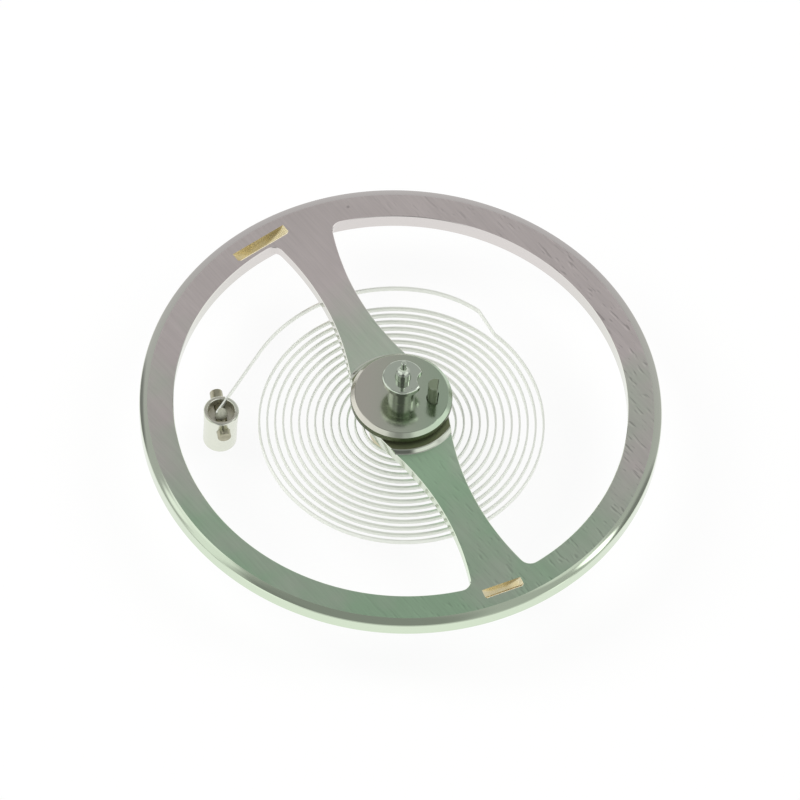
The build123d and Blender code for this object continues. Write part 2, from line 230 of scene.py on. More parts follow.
# %% Finish a piece
MERGE_DISTANCE = 0.0002
SMOOTH_BELOW = 12.0
ROUNDED_SMOOTH_BELOW = 30.0


def enclosed_volume(piece):
    """The volume within a closed piece, which is negative if its faces look inwards."""
    return sum(face.center.dot(face.normal) * face.area for face in piece.data.polygons) / 3


def finish_mesh(piece, smooth_below):
    """Cleans and shades a piece, and shrinks it to metres."""
    edit_all(piece)
    bpy.ops.mesh.remove_doubles(threshold=MERGE_DISTANCE)
    face_outwards()
    if enclosed_volume(piece) < 0:
        edit_all(piece)
        bpy.ops.mesh.flip_normals()
        bpy.ops.object.mode_set(mode="OBJECT")
    bpy.ops.object.shade_smooth_by_angle(angle=math.radians(smooth_below))
    piece.scale = (MM, MM, MM)
    bpy.ops.object.transform_apply(location=False, rotation=False, scale=True)
    print(f"{piece.name}: {len(piece.data.polygons)} faces")


def hand_over(piece, node, body, smooth_below=SMOOTH_BELOW):
    """Finishes a piece, and lets it stand for its CAD node."""
    finish_mesh(piece, smooth_below)
    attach(piece, body)
    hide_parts(node)


print(f"points closer than {MERGE_DISTANCE} mm are merged")

# %% [markdown]
# ## The balance wheel
# A smooth balance wheel is cut from one disc of a copper alloy. The blank is turned with its raised boss
# and two bevels on the rim's outer edge, and recessed from below so that the rim stands deeper than the
# arms. Two windows are then punched out, which leaves two arms that are slimmest near their middle. Here
# the blank comes off the lathe, and the punch for a window is drawn as an outline of arcs: one vertex is
# spun round each centre in turn, which gives true arcs with as many steps as they need. The outline is
# then filled and extruded to a prism.

# %% Turn the blank
rim_radius = 5.0
rim_width = 0.645
rim_thickness = 0.35
rim_bevel_width = 0.078
rim_bevel_drop = 0.021
rim_outer_bevel_width = 0.07
rim_outer_bevel_drop = 0.032
rim_edge_break = 0.025
rim_sides = 360
arm_thickness = 0.2
rim_top = 1.70
rim_bottom = rim_top - rim_thickness
arm_bottom = rim_top - arm_thickness
boss_radius = 1.15
boss_height = 0.05
boss_chamfer_width = 0.07
boss_top = rim_top + boss_height
rim_inner_radius = rim_radius - rim_width
overrun = 0.2

bevel_meeting = (rim_radius - rim_outer_bevel_width, rim_top - rim_bevel_drop)
blank_profile = [
    (rim_radius - rim_edge_break, rim_bottom),
    (rim_radius, rim_bottom + rim_edge_break),
    (rim_radius, bevel_meeting[1] - rim_outer_bevel_drop),
    bevel_meeting,
    (bevel_meeting[0] - rim_bevel_width, rim_top),
    (boss_radius, rim_top),
    (boss_radius - boss_chamfer_width, boss_top),
]
wheel = turn_piece("plated_wheel", blank_profile, sides=rim_sides)
drill(wheel, rim_inner_radius, rim_bottom - overrun, arm_bottom, sides=rim_sides)
print(f"blank: {2 * rim_radius} mm across, {rim_thickness} mm thick, {arm_thickness} mm at the arms")

# %% Draw an outline of arcs
window_step = 0.04


def crossing(first_centre, first_radius, second_centre, second_radius, side):
    """Where two circles cross; side 1 is to the left of the line from the first centre to the second."""
    between = second_centre - first_centre
    distance = between.length
    along = (distance**2 + first_radius**2 - second_radius**2) / (2 * distance)
    across = math.sqrt(first_radius**2 - along**2)
    ahead = between / distance
    left = Vector((-ahead.y, ahead.x))
    return first_centre + ahead * along + left * across * side


def draw_prism(name, start, arcs, low, high, turn):
    """Draws a closed outline by spinning a vertex round each arc's centre, and extrudes it upwards."""
    turned = Matrix.Rotation(math.radians(turn), 2)
    here = turned @ start
    bpy.ops.object.select_all(action="DESELECT")
    bpy.ops.mesh.primitive_plane_add(size=window_step, location=(here.x, here.y, low))
    prism = start_piece(name)
    bpy.context.tool_settings.mesh_select_mode = PICK_VERTICES
    edit_all(prism)
    bpy.ops.mesh.merge(type="CENTER")
    for centre, end in arcs:
        middle, there = turned @ centre, turned @ end
        before, after = here - middle, there - middle
        angle = math.atan2(before.x * after.y - before.y * after.x, before.dot(after))
        steps = max(2, math.ceil(abs(angle) * before.length / window_step))
        # seen from above, Spin turns clockwise for a positive angle
        bpy.ops.mesh.spin(steps=steps, angle=-angle, center=(middle.x, middle.y, low), axis=(0, 0, 1))
        here = there
    bpy.ops.mesh.select_all(action="SELECT")
    bpy.ops.mesh.remove_doubles(threshold=MERGE_DISTANCE)
    bpy.ops.mesh.edge_face_add()
    bpy.ops.mesh.extrude_region_move(TRANSFORM_OT_translate={"value": (0, 0, high - low)})
    face_outwards()
    return prism


print(f"an outline is drawn in steps of {window_step} mm")

# %% Punch the windows
arm_direction = 118.4
arm_waist_width = 0.686
arm_waist_from_axis = 2.65
arm_edge_radius = 5.56
arm_root_from_axis = 0.85
arm_corner_radius = 0.21
hub_width = 1.56
# the windows end a few thousandths inside the recess, so that no two cuts share a surface
window_inset = 0.004


def window_outline():
    """The window above the arms, with the arms along X: its start, and the (centre, end) of each arc."""
    axis = Vector((0, 0))
    window_radius = rim_inner_radius - window_inset
    edge_centre = Vector((arm_waist_from_axis, arm_waist_width / 2 + arm_edge_radius))
    inner_radius = window_radius - arm_corner_radius
    corner = crossing(axis, inner_radius, edge_centre, arm_edge_radius - arm_corner_radius, -1)
    rim_touch = corner.normalized() * window_radius
    arm_touch = edge_centre + (corner - edge_centre).normalized() * arm_edge_radius
    off_waist = arm_waist_from_axis - arm_root_from_axis
    root_height = edge_centre.y - math.sqrt(arm_edge_radius**2 - off_waist**2)
    root = Vector((arm_root_from_axis, root_height))
    hub_rise = hub_width / 2 - root_height
    hub_radius = (arm_root_from_axis**2 + hub_rise**2) / (2 * hub_rise)
    hub_centre = Vector((0, hub_width / 2 - hub_radius))
    mirror = Matrix(((-1, 0), (0, 1)))
    arcs = [
        (corner, arm_touch),
        (edge_centre, root),
        (hub_centre, mirror @ root),
        (mirror @ edge_centre, mirror @ arm_touch),
        (mirror @ corner, mirror @ rim_touch),
        (axis, rim_touch),
    ]
    return rim_touch, arcs


through_wheel = (rim_bottom - overrun, boss_top + overrun)
for half_turn in (0, 180):
    turn = arm_direction + half_turn
    cut_away(wheel, draw_prism("window_punch", *window_outline(), *through_wheel, turn))
balance_seat_radius = 0.5
drill(wheel, balance_seat_radius, *through_wheel)
wheel_edge_break = 0.012
# the step between recess and window is finer than a chamfer, so the edges at its height stay as they are
break_edges(
    wheel,
    wheel_edge_break,
    lambda first, second: min(first.z, second.z) > arm_bottom + wheel_edge_break
    or max(first.z, second.z) < arm_bottom - wheel_edge_break,
)
print(f"wheel: {len(wheel.data.polygons)} faces after two windows")

# %% [markdown]
# ## The poising pockets
# A balance has to be in poise, with its centre of mass on the axis. The watchmaker gets there by milling
# a little metal out of the heavy side of the rim. A small disc cutter leaves a pocket with an arc-shaped
# floor and two straight walls, and bare alloy where the plating is gone. The cutter is modelled as it is:
# a cylinder that lies on its side and dips into the rim. A scraper then broke the long edge in front,
# which catches the light as a bright line. Here that edge is picked by its place and bevelled.

# %% Mill the poising pockets
pocket_cutter_radius = 1.0
pocket_cutter_sides = 512
wheel_smooth_below = 10.0
pocket_edge_break = 0.036
near_pocket = {
    "length": 0.8,
    "width": 0.2,
    "land": 0.098,
    "direction": -62.3,
    "turn": -1.5,
    "broken_side": 1,
}
far_pocket = {
    "length": 1.2,
    "width": 0.215,
    "land": 0.067,
    "direction": 129.0,
    "turn": 0.0,
    "broken_side": -1,
}


def mill_pocket(piece, length, width, land, direction, turn, broken_side):
    """Dips a disc cutter into the rim's face, and breaks the long edge on one side (1 outer, -1 inner)."""
    depth = pocket_cutter_radius - math.sqrt(pocket_cutter_radius**2 - (length / 2) ** 2)
    from_axis = rim_inner_radius + land + width / 2
    across = heading_vector(direction + turn).to_3d()
    middle = heading_vector(direction).to_3d() * from_axis - across * broken_side * pocket_edge_break / 2
    floor_width = width - pocket_edge_break
    bpy.ops.object.select_all(action="DESELECT")
    bpy.ops.mesh.primitive_cylinder_add(
        vertices=pocket_cutter_sides,
        radius=pocket_cutter_radius,
        depth=floor_width,
        location=(middle.x, middle.y, rim_top + pocket_cutter_radius - depth),
        rotation=(0, math.radians(90), math.radians(direction + turn)),
    )
    cut_away(piece, start_piece("pocket_cutter"))

    def long_edge(first, second):
        """Whether an edge is part of the one to break, at the rim's face."""
        offset = (first + second) / 2 - middle
        at_wall = abs(offset.dot(across) - broken_side * floor_width / 2) < MERGE_DISTANCE
        at_wall = at_wall and abs((second - first).dot(across)) < MERGE_DISTANCE
        at_face = abs(first.z - rim_top) + abs(second.z - rim_top) < MERGE_DISTANCE
        return at_wall and at_face and Vector((offset.x, offset.y)).length < length

    break_edges(piece, pocket_edge_break, long_edge)
    return depth


for pocket in (near_pocket, far_pocket):
    print(f"pocket {pocket['length']} mm long, {mill_pocket(wheel, **pocket):.3f} mm deep")
hand_over(wheel, "balance_wheel", "wheel", wheel_smooth_below)

# %% [markdown]
# ## The balance staff
# The staff is the arbor of the balance, turned from hardened steel. From below it has a pivot with a
# concave cone behind it, a seat for the collet, a riveted lip that holds the wheel, a flange, the seats
# of the two rollers, and the upper pivot. Its profile has quarter arcs, so a small function gives the
# points of an arc that leaves one point in a given direction and ends at another, as a draughtsman draws
# a fillet.

# %% Measure the staff
pivot_radius = 0.05
pivot_length = 0.18
pivot_dome = 0.02
lower_cone_length = 0.14
lower_shoulder_length = 0.34
lower_shoulder_radius = 0.22
collet_seat_radius = 0.36
rivet_lip_thickness = 0.05
rivet_lip_radius = 0.62
flange_thickness = 0.075
flange_radius = 0.64
table_seat_radius = 0.22
safety_seat_foot_radius = 0.165
safety_seat_end_radius = 0.145
safety_seat_overhang = 0.18
upper_cone_length = 0.12
cone_base_radius = 0.13
staff_edge_break = 0.015
table_thickness = 0.24
safety_neck_height = 0.448
safety_thickness = 0.14
lower_shoulder_start = pivot_length + lower_cone_length
collet_seat_start = lower_shoulder_start + lower_shoulder_length
rivet_lip_start = arm_bottom - rivet_lip_thickness
table_bottom = boss_top + flange_thickness
table_top = table_bottom + table_thickness
safety_disc_bottom = table_top + safety_neck_height
safety_top = safety_disc_bottom + safety_thickness
upper_cone_start = safety_top + safety_seat_overhang
upper_pivot_start = upper_cone_start + upper_cone_length
staff_length = upper_pivot_start + pivot_length
print(f"staff {staff_length:.3f} mm long, pivots {2 * pivot_radius} mm thick")

# %% Turn the staff
arc_steps = 8


def arc_points(start, end, tangent, steps=arc_steps):
    """The points after start on the arc that leaves it along a tangent and reaches end."""
    start, end, ahead = Vector(start), Vector(end), Vector(tangent)
    left = Vector((-ahead.y, ahead.x))
    across = end - start
    centre = start + left * across.length_squared / (2 * across.dot(left))
    sweep = 2 * math.atan2(ahead.x * across.y - ahead.y * across.x, ahead.dot(across))
    turns = [Matrix.Rotation(sweep * number / steps, 2) for number in range(1, steps + 1)]
    return [tuple(centre + turn @ (start - centre)) for turn in turns]


def land(radius, low, high, low_break=0.0, high_break=0.0):
    """One cylindrical length of a turned profile, with its outer corners broken."""
    corners = [(radius - low_break, low), (radius, low + low_break)]
    corners += [(radius, high - high_break), (radius - high_break, high)]
    return [corner for number, corner in enumerate(corners) if number == 0 or corner != corners[number - 1]]


lower_dome = arc_points((0, 0), (pivot_radius, pivot_dome), (1, 0))
lower_cone = arc_points((pivot_radius, pivot_length), (cone_base_radius, lower_shoulder_start), (0, 1))
upper_cone = arc_points((pivot_radius, upper_pivot_start), (cone_base_radius, upper_cone_start), (0, -1))
upper_dome = arc_points((0, staff_length), (pivot_radius, staff_length - pivot_dome), (1, 0))
staff_profile = [
    *lower_dome,
    (pivot_radius, pivot_length),
    *lower_cone,
    *land(lower_shoulder_radius, lower_shoulder_start, collet_seat_start, staff_edge_break),
    *land(collet_seat_radius, collet_seat_start, rivet_lip_start, staff_edge_break),
    *land(rivet_lip_radius, rivet_lip_start, arm_bottom, staff_edge_break, staff_edge_break),
    *land(balance_seat_radius, arm_bottom, boss_top),
    *land(flange_radius, boss_top, table_bottom, staff_edge_break, staff_edge_break),
    *land(table_seat_radius, table_bottom, table_top, 0.0, staff_edge_break),
    (safety_seat_foot_radius, table_top),
    (safety_seat_end_radius, upper_cone_start),
    *reversed(upper_cone),
    (pivot_radius, upper_pivot_start),
    *reversed(upper_dome),
]
staff = turn_piece("turned_staff", staff_profile)
hand_over(staff, "balance_staff", "wheel")

# %% [markdown]
# ## The roller table and its jewel
# The roller table is a thick polished disc on the staff. A D-shaped hole near its edge holds the impulse
# jewel, a small column of synthetic corundum with a flat on its outer side. It is set with a drop of
# shellac, which is melted into a shallow recess from below. The D is a round bar cut by one bisecting
# plane.

# %% Turn the roller table
table_radius = 0.975
table_lower_chamfer = 0.03
table_bevel_width = 0.08
table_bevel_drop = 0.085
jewel_direction = -5.1
jewel_from_axis = 0.63
jewel_radius = 0.14
jewel_flat_from_centre = 0.06
jewel_clearance = 0.01
jewel_sides = 96
shellac_radius = 0.21
shellac_depth = 0.08
shellac_floor = 0.03
polished_edge_break = 0.006
jewel_way = heading_vector(jewel_direction)
jewel_centre = jewel_way * jewel_from_axis


def d_column(name, growth, low, high):
    """An upright bar of the jewel's D section, its flat facing outwards."""
    radius = jewel_radius + growth
    column = turn_piece(name, [(radius, low), (radius, high)], jewel_centre, jewel_sides)
    flat = jewel_centre + jewel_way * (jewel_flat_from_centre + growth)
    file_flat(column, (flat.x, flat.y, low), jewel_way.to_3d())
    return column


def disc_profile(radius, low, high, low_chamfer, high_chamfer, high_drop=None):
    """The profile of a disc with chamfered rims. The upper chamfer is even unless its drop is given."""
    drop = high_chamfer if high_drop is None else high_drop
    return [
        (radius - low_chamfer, low),
        (radius, low + low_chamfer),
        (radius, high - drop),
        (radius - high_chamfer, high),
    ]


table_sides = 256
table_edges = (table_lower_chamfer, table_bevel_width, table_bevel_drop)
table_profile = disc_profile(table_radius, table_bottom, table_top, *table_edges)
table = turn_piece("polished_table", table_profile, sides=table_sides)
drill(table, table_seat_radius, table_bottom - overrun, table_top + overrun)
drill(table, shellac_radius, table_bottom - overrun, table_bottom + shellac_depth, jewel_centre)
cut_away(table, d_column("jewel_hole", jewel_clearance, table_bottom - overrun, table_top + overrun))
break_edges(table, polished_edge_break)
hand_over(table, "roller_table", "wheel")
print(f"table {2 * table_radius} mm across, {table_thickness} mm thick")

# %% Set the jewel
jewel_height = 0.48
jewel_edge_break = 0.015
jewel_foot = table_bottom + shellac_floor
jewel_top = table_top + jewel_height
jewel = d_column("set_jewel", 0.0, jewel_foot, jewel_top)
break_edges(jewel, jewel_edge_break)
hand_over(jewel, "impulse_jewel", "wheel")
print(f"jewel {jewel_top - jewel_foot:.3f} mm tall")

# %% [markdown]
# ## The shellac
# Shellac sets with a hollow surface, because it creeps up the walls while it is still liquid. So the bead is
# turned with a shallow hollow in its lower face, and the jewel's foot is taken out of it.

# %% Pour the shellac
shellac_hollow = 0.012
shellac_rings = 6
hollow_rings = []
for number in range(1, shellac_rings + 1):
    share = number / shellac_rings
    hollow_rings.append((shellac_radius * share, table_bottom + shellac_hollow * (1 - share**2)))
shellac_top = (shellac_radius, table_bottom + shellac_depth)
shellac = turn_piece("set_shellac", [*hollow_rings, shellac_top], jewel_centre)
cut_away(shellac, d_column("jewel_foot", 0.0, jewel_foot, jewel_top))
hand_over(shellac, "jewel_shellac", "wheel", ROUNDED_SMOOTH_BELOW)
print(f"shellac {2 * shellac_radius} mm across, hollowed by {shellac_hollow} mm")

# %% [markdown]
# ## The safety roller
# The small upper disc guards the escapement between two impulses. It stands on a slim neck, and a round
# notch in front of the jewel, the crescent, lets the guard pin pass. Its bore is slightly tapered, as the
# staff's seat is.

# %% Turn the safety roller
safety_radius = 0.39
safety_chamfer = 0.02
safety_neck_radius = 0.262
crescent_radius = 0.25
crescent_land = 0.012
safety_profile = [
    (safety_neck_radius, table_top),
    (safety_neck_radius, safety_disc_bottom),
    *disc_profile(safety_radius, safety_disc_bottom, safety_top, safety_chamfer, safety_chamfer),
]
safety_roller = turn_piece("crescent_roller", safety_profile)
bore = [
    (safety_seat_foot_radius, table_top - overrun),
    (safety_seat_foot_radius, table_top),
    (safety_seat_end_radius, upper_cone_start),
]
cut_away(safety_roller, turn_piece("tapered_reamer", bore))
crescent_centre = jewel_way * (safety_neck_radius + crescent_land + crescent_radius)
drill(safety_roller, crescent_radius, table_top + overrun, safety_top + overrun, crescent_centre)
break_edges(safety_roller, polished_edge_break)
hand_over(safety_roller, "safety_roller", "wheel")
print(f"safety roller {2 * safety_radius} mm across, {safety_top - table_top:.3f} mm above the table")

# %% [markdown]
# ## The collet
# The collet is a split brass ring, pressed on the staff so that it can be turned to set the beat. A fine
# hole runs through it beside the staff. The hairspring's inner end lies in that hole and is wedged by a
# small pin whose flat presses against the strip.

# %% Turn the collet
collet_radius = 0.58
collet_height = 0.5
collet_chamfer = 0.03
collet_slit_width = 0.05
collet_hole_radius = 0.07
collet_hole_direction = 8.9
collet_pin_overhang = 0.05
strip_thickness = 0.04
strip_height = 0.12
strip_below_rim_top = 0.6
small_hole_sides = 48
strip_top = rim_top - strip_below_rim_top
strip_bottom = strip_top - strip_height
strip_middle = (strip_top + strip_bottom) / 2
collet_bottom = strip_middle - collet_height / 2
collet_top = strip_middle + collet_height / 2
collet_hole_from_axis = (collet_seat_radius + collet_radius) / 2
pin_flat_from_axis = collet_hole_from_axis - strip_thickness / 2
collet_turn = math.radians(collet_hole_direction)
outwards = heading_vector(collet_hole_direction)


def cross_bar(name, length):
    """A round bar along the collet's cross hole, at right angles to the staff and beside it."""
    middle = outwards * collet_hole_from_axis
    bpy.ops.object.select_all(action="DESELECT")
    bpy.ops.mesh.primitive_cylinder_add(
        vertices=small_hole_sides,
        radius=collet_hole_radius,
        depth=length,
        location=(middle.x, middle.y, strip_middle),
        rotation=(math.radians(90), 0, collet_turn),
    )
    return start_piece(name)


def block(name, size, centre, turn):
    """A square-edged block of a given size, turned about an upright axis."""
    bpy.ops.object.select_all(action="DESELECT")
    bpy.ops.mesh.primitive_cube_add(size=1, location=centre, rotation=(0, 0, turn), scale=size)
    return start_piece(name)


collet_profile = disc_profile(collet_radius, collet_bottom, collet_top, collet_chamfer, collet_chamfer)
collet = turn_piece("split_collet", collet_profile)
drill(collet, collet_seat_radius, collet_bottom - overrun, collet_top + overrun)
cut_away(collet, cross_bar("cross_drill", 2 * collet_radius))
slit_middle = outwards * -collet_radius
slit_size = (2 * collet_radius, collet_slit_width, collet_height + overrun)
cut_away(collet, block("slitting_saw", slit_size, (slit_middle.x, slit_middle.y, strip_middle), collet_turn))
hand_over(collet, "collet", "wheel")
print(f"collet {2 * collet_radius} mm across, {collet_height} mm tall")

# %% File the collet pin flat
mouth = math.sqrt(collet_radius**2 - pin_flat_from_axis**2)
pin_end_break = 0.012
collet_pin = cross_bar("flatted_collet_pin", 2 * (mouth + collet_pin_overhang))
flat = outwards * pin_flat_from_axis
file_flat(collet_pin, (flat.x, flat.y, strip_middle), outwards.to_3d())
along_pin = heading_vector(collet_hole_direction + 90).to_3d()


def past_mouth(first, second):
    """Whether an edge of the pin sticks out of the collet at one of its ends."""
    return min(abs(first.dot(along_pin)), abs(second.dot(along_pin))) > mouth


break_edges(collet_pin, pin_end_break, past_mouth)
hand_over(collet_pin, "collet_pin", "wheel")
print(f"collet pin {2 * (mouth + collet_pin_overhang):.3f} mm long")

# %% [markdown]
# ## The route of the hairspring
# The hairspring is one strip, 0.04 mm thick and 0.12 mm high. From the collet's hole it goes through a
# small elbow into about fourteen coils. After the last one it climbs over a knee and a shoulder to a
# wider arc, up to the stud. Each run of the route is a straight line or an arc, tangent to the one
# before. A spiral that is made of half circles about two centres widens by half a pitch with each half
# turn, and it is what a pair of compasses would draw.

# %% Measure the route
first_coil_off_collet = 0.0955
coil_pitch = 0.153
coil_half_turns = 28
last_coil_direction = 50.9
elbow_radius = 0.12
knee_radius = 0.06
knee_rise = 0.329
shoulder_radius = 2.4
shoulder_turn = 29.0
shoulder_end_direction = 84.9
strip_inner_tail = 0.3
strip_outer_tail = 0.05
stud_direction = 180.0
stud_outside_arc = 0.314
strip_outside_stud_middle = 0.075
first_coil_radius = collet_radius + first_coil_off_collet
last_coil_radius = first_coil_radius + (coil_half_turns - 1) * coil_pitch / 2 + coil_pitch / 4
outer_arc_radius = last_coil_radius + knee_rise
stud_from_axis = outer_arc_radius + stud_outside_arc
print(f"coils from {first_coil_radius:.3f} to {last_coil_radius:.3f} mm, outer arc {outer_arc_radius:.3f} mm")


# %% Lay lines and arcs end to end
def direction_of(vector):
    """The heading of a vector, in degrees."""
    return math.degrees(math.atan2(vector.y, vector.x))


def left_turn(start, end):
    """The left turn from one heading to another, from 0 up to a whole turn."""
    return (end - start) % 360


class Route:
    """Straight lines and arcs, each tangent to the last."""

    def __init__(self, start, heading):
        self.point, self.heading = start, heading
        self.runs = []

    def straight(self, length):
        """Goes on in a straight line."""
        self.runs.append((self.point, self.heading, length, 0.0))
        self.point = self.point + heading_vector(self.heading) * length

    def bend(self, radius, turn):
        """Goes on in an arc, to the left for a positive turn and to the right for a negative one."""
        self.runs.append((self.point, self.heading, radius, turn))
        self.point, self.heading = self.along(self.runs[-1], 1.0)

    def along(self, run, share):
        """The point and heading at a share of one run."""
        start, heading, size, turn = run
        if turn == 0.0:
            return start + heading_vector(heading) * size * share, heading
        side = math.copysign(90, turn)
        now = heading + turn * share
        centre = start + heading_vector(heading + side) * size
        return centre - heading_vector(now + side) * size, now

    def lengths(self):
        """The length of each run."""
        return [size if turn == 0.0 else size * math.radians(abs(turn)) for _, _, size, turn in self.runs]


# %% Draw the route from the collet to the stud
along_hole = heading_vector(collet_hole_direction + 90)
spread = coil_pitch / 4
radii = [first_coil_radius + number * coil_pitch / 2 for number in range(coil_half_turns)]
first_centre = heading_vector(last_coil_direction) * -spread
elbow_line = outwards * (collet_hole_from_axis - elbow_radius) - first_centre
reach = radii[0] - elbow_radius
run_out = math.sqrt(elbow_line.dot(along_hole) ** 2 - elbow_line.length_squared + reach**2)
run_out -= elbow_line.dot(along_hole)
touch = direction_of(elbow_line + along_hole * run_out)

route = Route(outwards * collet_hole_from_axis - along_hole * strip_inner_tail, collet_hole_direction + 90)
route.straight(run_out + strip_inner_tail)
route.bend(elbow_radius, left_turn(collet_hole_direction, touch))
route.bend(radii[0], left_turn(touch, last_coil_direction + 180))
for radius in radii[1:]:
    route.bend(radius, 180)

right_centre = route.point + heading_vector(last_coil_direction) * knee_radius
shoulder_start_direction = shoulder_end_direction - shoulder_turn
shoulder_centre = heading_vector(shoulder_end_direction) * (outer_arc_radius - shoulder_radius)
left_centre = shoulder_centre + heading_vector(shoulder_start_direction) * (shoulder_radius - knee_radius)
across_knee = left_centre - right_centre
climb = direction_of(across_knee) - math.degrees(math.asin(2 * knee_radius / across_knee.length))
route.bend(knee_radius, -left_turn(climb, last_coil_direction + 90))
route.straight(math.sqrt(across_knee.length_squared - (2 * knee_radius) ** 2))
route.bend(knee_radius, left_turn(climb, shoulder_start_direction + 90))
route.bend(shoulder_radius, shoulder_turn)

aim = stud_from_axis + strip_outside_stud_middle
tangent_direction = stud_direction - math.degrees(math.acos(outer_arc_radius / aim))
route.bend(outer_arc_radius, tangent_direction - shoulder_end_direction)
route.straight(math.sqrt(aim**2 - outer_arc_radius**2) + strip_outer_tail)
strip_length = sum(route.lengths())
print(f"hairspring: {strip_length:.1f} mm of strip in {len(route.runs)} runs, ends at {tuple(route.point)}")

# %% [markdown]
# ## The hairspring
# The real strip is drawn wire, rolled flat, with faintly rounded edges. It is modelled straight: one
# short link has its long edges bevelled and its open ends removed, and an Array modifier repeats it to
# the full length and merges the joints. Only then is the strip wound: every vertex keeps its share of the
# length and its place across the strip, and moves to that place on the route.

# %% Roll the strip
strip_links = 4000
strip_edge_round = 0.018
strip_edge_steps = 2
link_length = strip_length / strip_links
quarter_link = link_length / 4
link_middle = (link_length / 2, 0, strip_middle)
spring = block("wound_spring", (link_length, strip_thickness, strip_height), link_middle, 0)
pick_faces(spring, lambda centre, normal: abs(normal.x) > LOOKS_ALONG)
bpy.ops.mesh.delete(type="ONLY_FACE")
bpy.ops.object.mode_set(mode="OBJECT")
pick_edges(spring, lambda first, second: abs(first.x - second.x) > link_length / 2)
bpy.ops.mesh.bevel(offset=strip_edge_round, segments=strip_edge_steps, affect="EDGES")
bpy.ops.object.mode_set(mode="OBJECT")
repeat = spring.modifiers.new("strip", "ARRAY")
repeat.count = strip_links
repeat.relative_offset_displace = (1, 0, 0)
repeat.use_merge_vertices = True
repeat.merge_threshold = quarter_link / 2
bpy.ops.object.modifier_apply(modifier=repeat.name)
for end in (0.0, strip_length):
    pick_edges(spring, lambda first, second: max(abs(first.x - end), abs(second.x - end)) < quarter_link)
    bpy.ops.mesh.edge_face_add()
    bpy.ops.object.mode_set(mode="OBJECT")
finish_mesh(spring, ROUNDED_SMOOTH_BELOW)
print(f"strip: {len(spring.data.vertices)} vertices, {strip_length:.1f} mm long")

# %% Wind the strip
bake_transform(spring)
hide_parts("hairspring")
run_lengths = route.lengths()
run_ends = np.cumsum(run_lengths)
places = np.empty(len(spring.data.vertices) * 3)
spring.data.vertices.foreach_get("co", places)
places = places.reshape(-1, 3)
for place in places:
    travelled = min(max(place[0] / MM, 0.0), strip_length)
    number = min(int(np.searchsorted(run_ends, travelled)), len(route.runs) - 1)
    share = 1 - (run_ends[number] - travelled) / run_lengths[number]
    point, heading = route.along(route.runs[number], share)
    wound = point * MM + heading_vector(heading + 90) * place[1]
    place[0], place[1] = wound.x, wound.y
spring.data.vertices.foreach_set("co", places.ravel())
spring.data.update()
print("wound strip spans", [round(float(size), 4) for size in np.ptp(places, axis=0) / MM], "mm")

# %% [markdown]
# ## The stud
# The stud holds the hairspring's outer end. Its post is clamped in a holder on the balance cock. Its head
# is a cup with a thin wall, crossed by a tapered pin, and the strip comes in through a slot and is fixed
# with a drop of cement on the pin. The cup, the slot and the pin's hole are cut in the order in which
# they are made.

# %% Turn the stud
stud_head_radius = 0.338
stud_head_height = 0.42
stud_head_rise = 0.02
stud_post_radius = 0.323
stud_post_length = 0.55
stud_edge_break = 0.02
stud_cup_radius = 0.262
stud_cup_depth = 0.2
stud_slot_clearance = 0.01
stud_lip_break = 0.01
stud_top = strip_top + stud_head_rise
stud_head_bottom = stud_top - stud_head_height
stud_bottom = stud_head_bottom - stud_post_length
stud_centre = heading_vector(stud_direction) * stud_from_axis
stud_profile = [
    (stud_post_radius - stud_edge_break, stud_bottom),
    (stud_post_radius, stud_bottom + stud_edge_break),
    (stud_post_radius, stud_head_bottom),
    (stud_head_radius, stud_top - stud_edge_break),
    (stud_head_radius - stud_edge_break, stud_top),
]
stud = turn_piece("cupped_stud", stud_profile, stud_centre)
drill(stud, stud_cup_radius, stud_top - stud_cup_depth, stud_top + overrun, stud_centre)
lip_bottom = stud_top - stud_edge_break / 2
break_edges(stud, stud_lip_break, lambda first, second: min(first.z, second.z) > lip_bottom)
print(f"stud {stud_top - stud_bottom:.2f} mm tall, its cup {stud_cup_depth} mm deep")

# %% Drive the pin
stud_pin_turn = 12.0
stud_pin_drop = 0.28
stud_pin_far_reach = 0.61
stud_pin_near_reach = 0.45
stud_pin_far_radius = 0.124
stud_pin_near_radius = 0.13
stud_pin_edge_break = 0.02
stud_pin_hole_gap = 0.003
stud_pin_edge_steps = 4
stud_pin_sharp_above = 45.0
stud_pin_sides = 96
stud_pin_height = stud_top - stud_pin_drop
stud_pin_heading = stud_direction + stud_pin_turn + 90


def tapered_pin(name, growth):
    """The stud's pin, lying across the cup with its thicker end to the front."""
    length = stud_pin_far_reach + stud_pin_near_reach
    middle = stud_centre + heading_vector(stud_pin_heading) * (stud_pin_near_reach - stud_pin_far_reach) / 2
    bpy.ops.object.select_all(action="DESELECT")
    bpy.ops.mesh.primitive_cone_add(
        vertices=stud_pin_sides,
        radius1=stud_pin_far_radius + growth,
        radius2=stud_pin_near_radius + growth,
        depth=length,
        location=(middle.x, middle.y, stud_pin_height),
        rotation=(math.radians(-90), 0, math.radians(stud_pin_heading - 90)),
    )
    return start_piece(name)


stud_pin = tapered_pin("driven_pin", 0.0)
break_edges(stud_pin, stud_pin_edge_break, sharp_above=stud_pin_sharp_above, steps=stud_pin_edge_steps)
hand_over(stud_pin, "stud_pin", "stud", ROUNDED_SMOOTH_BELOW)
cut_away(stud, tapered_pin("pin_reamer", stud_pin_hole_gap))
print(f"stud pin {stud_pin_far_reach + stud_pin_near_reach:.2f} mm long")

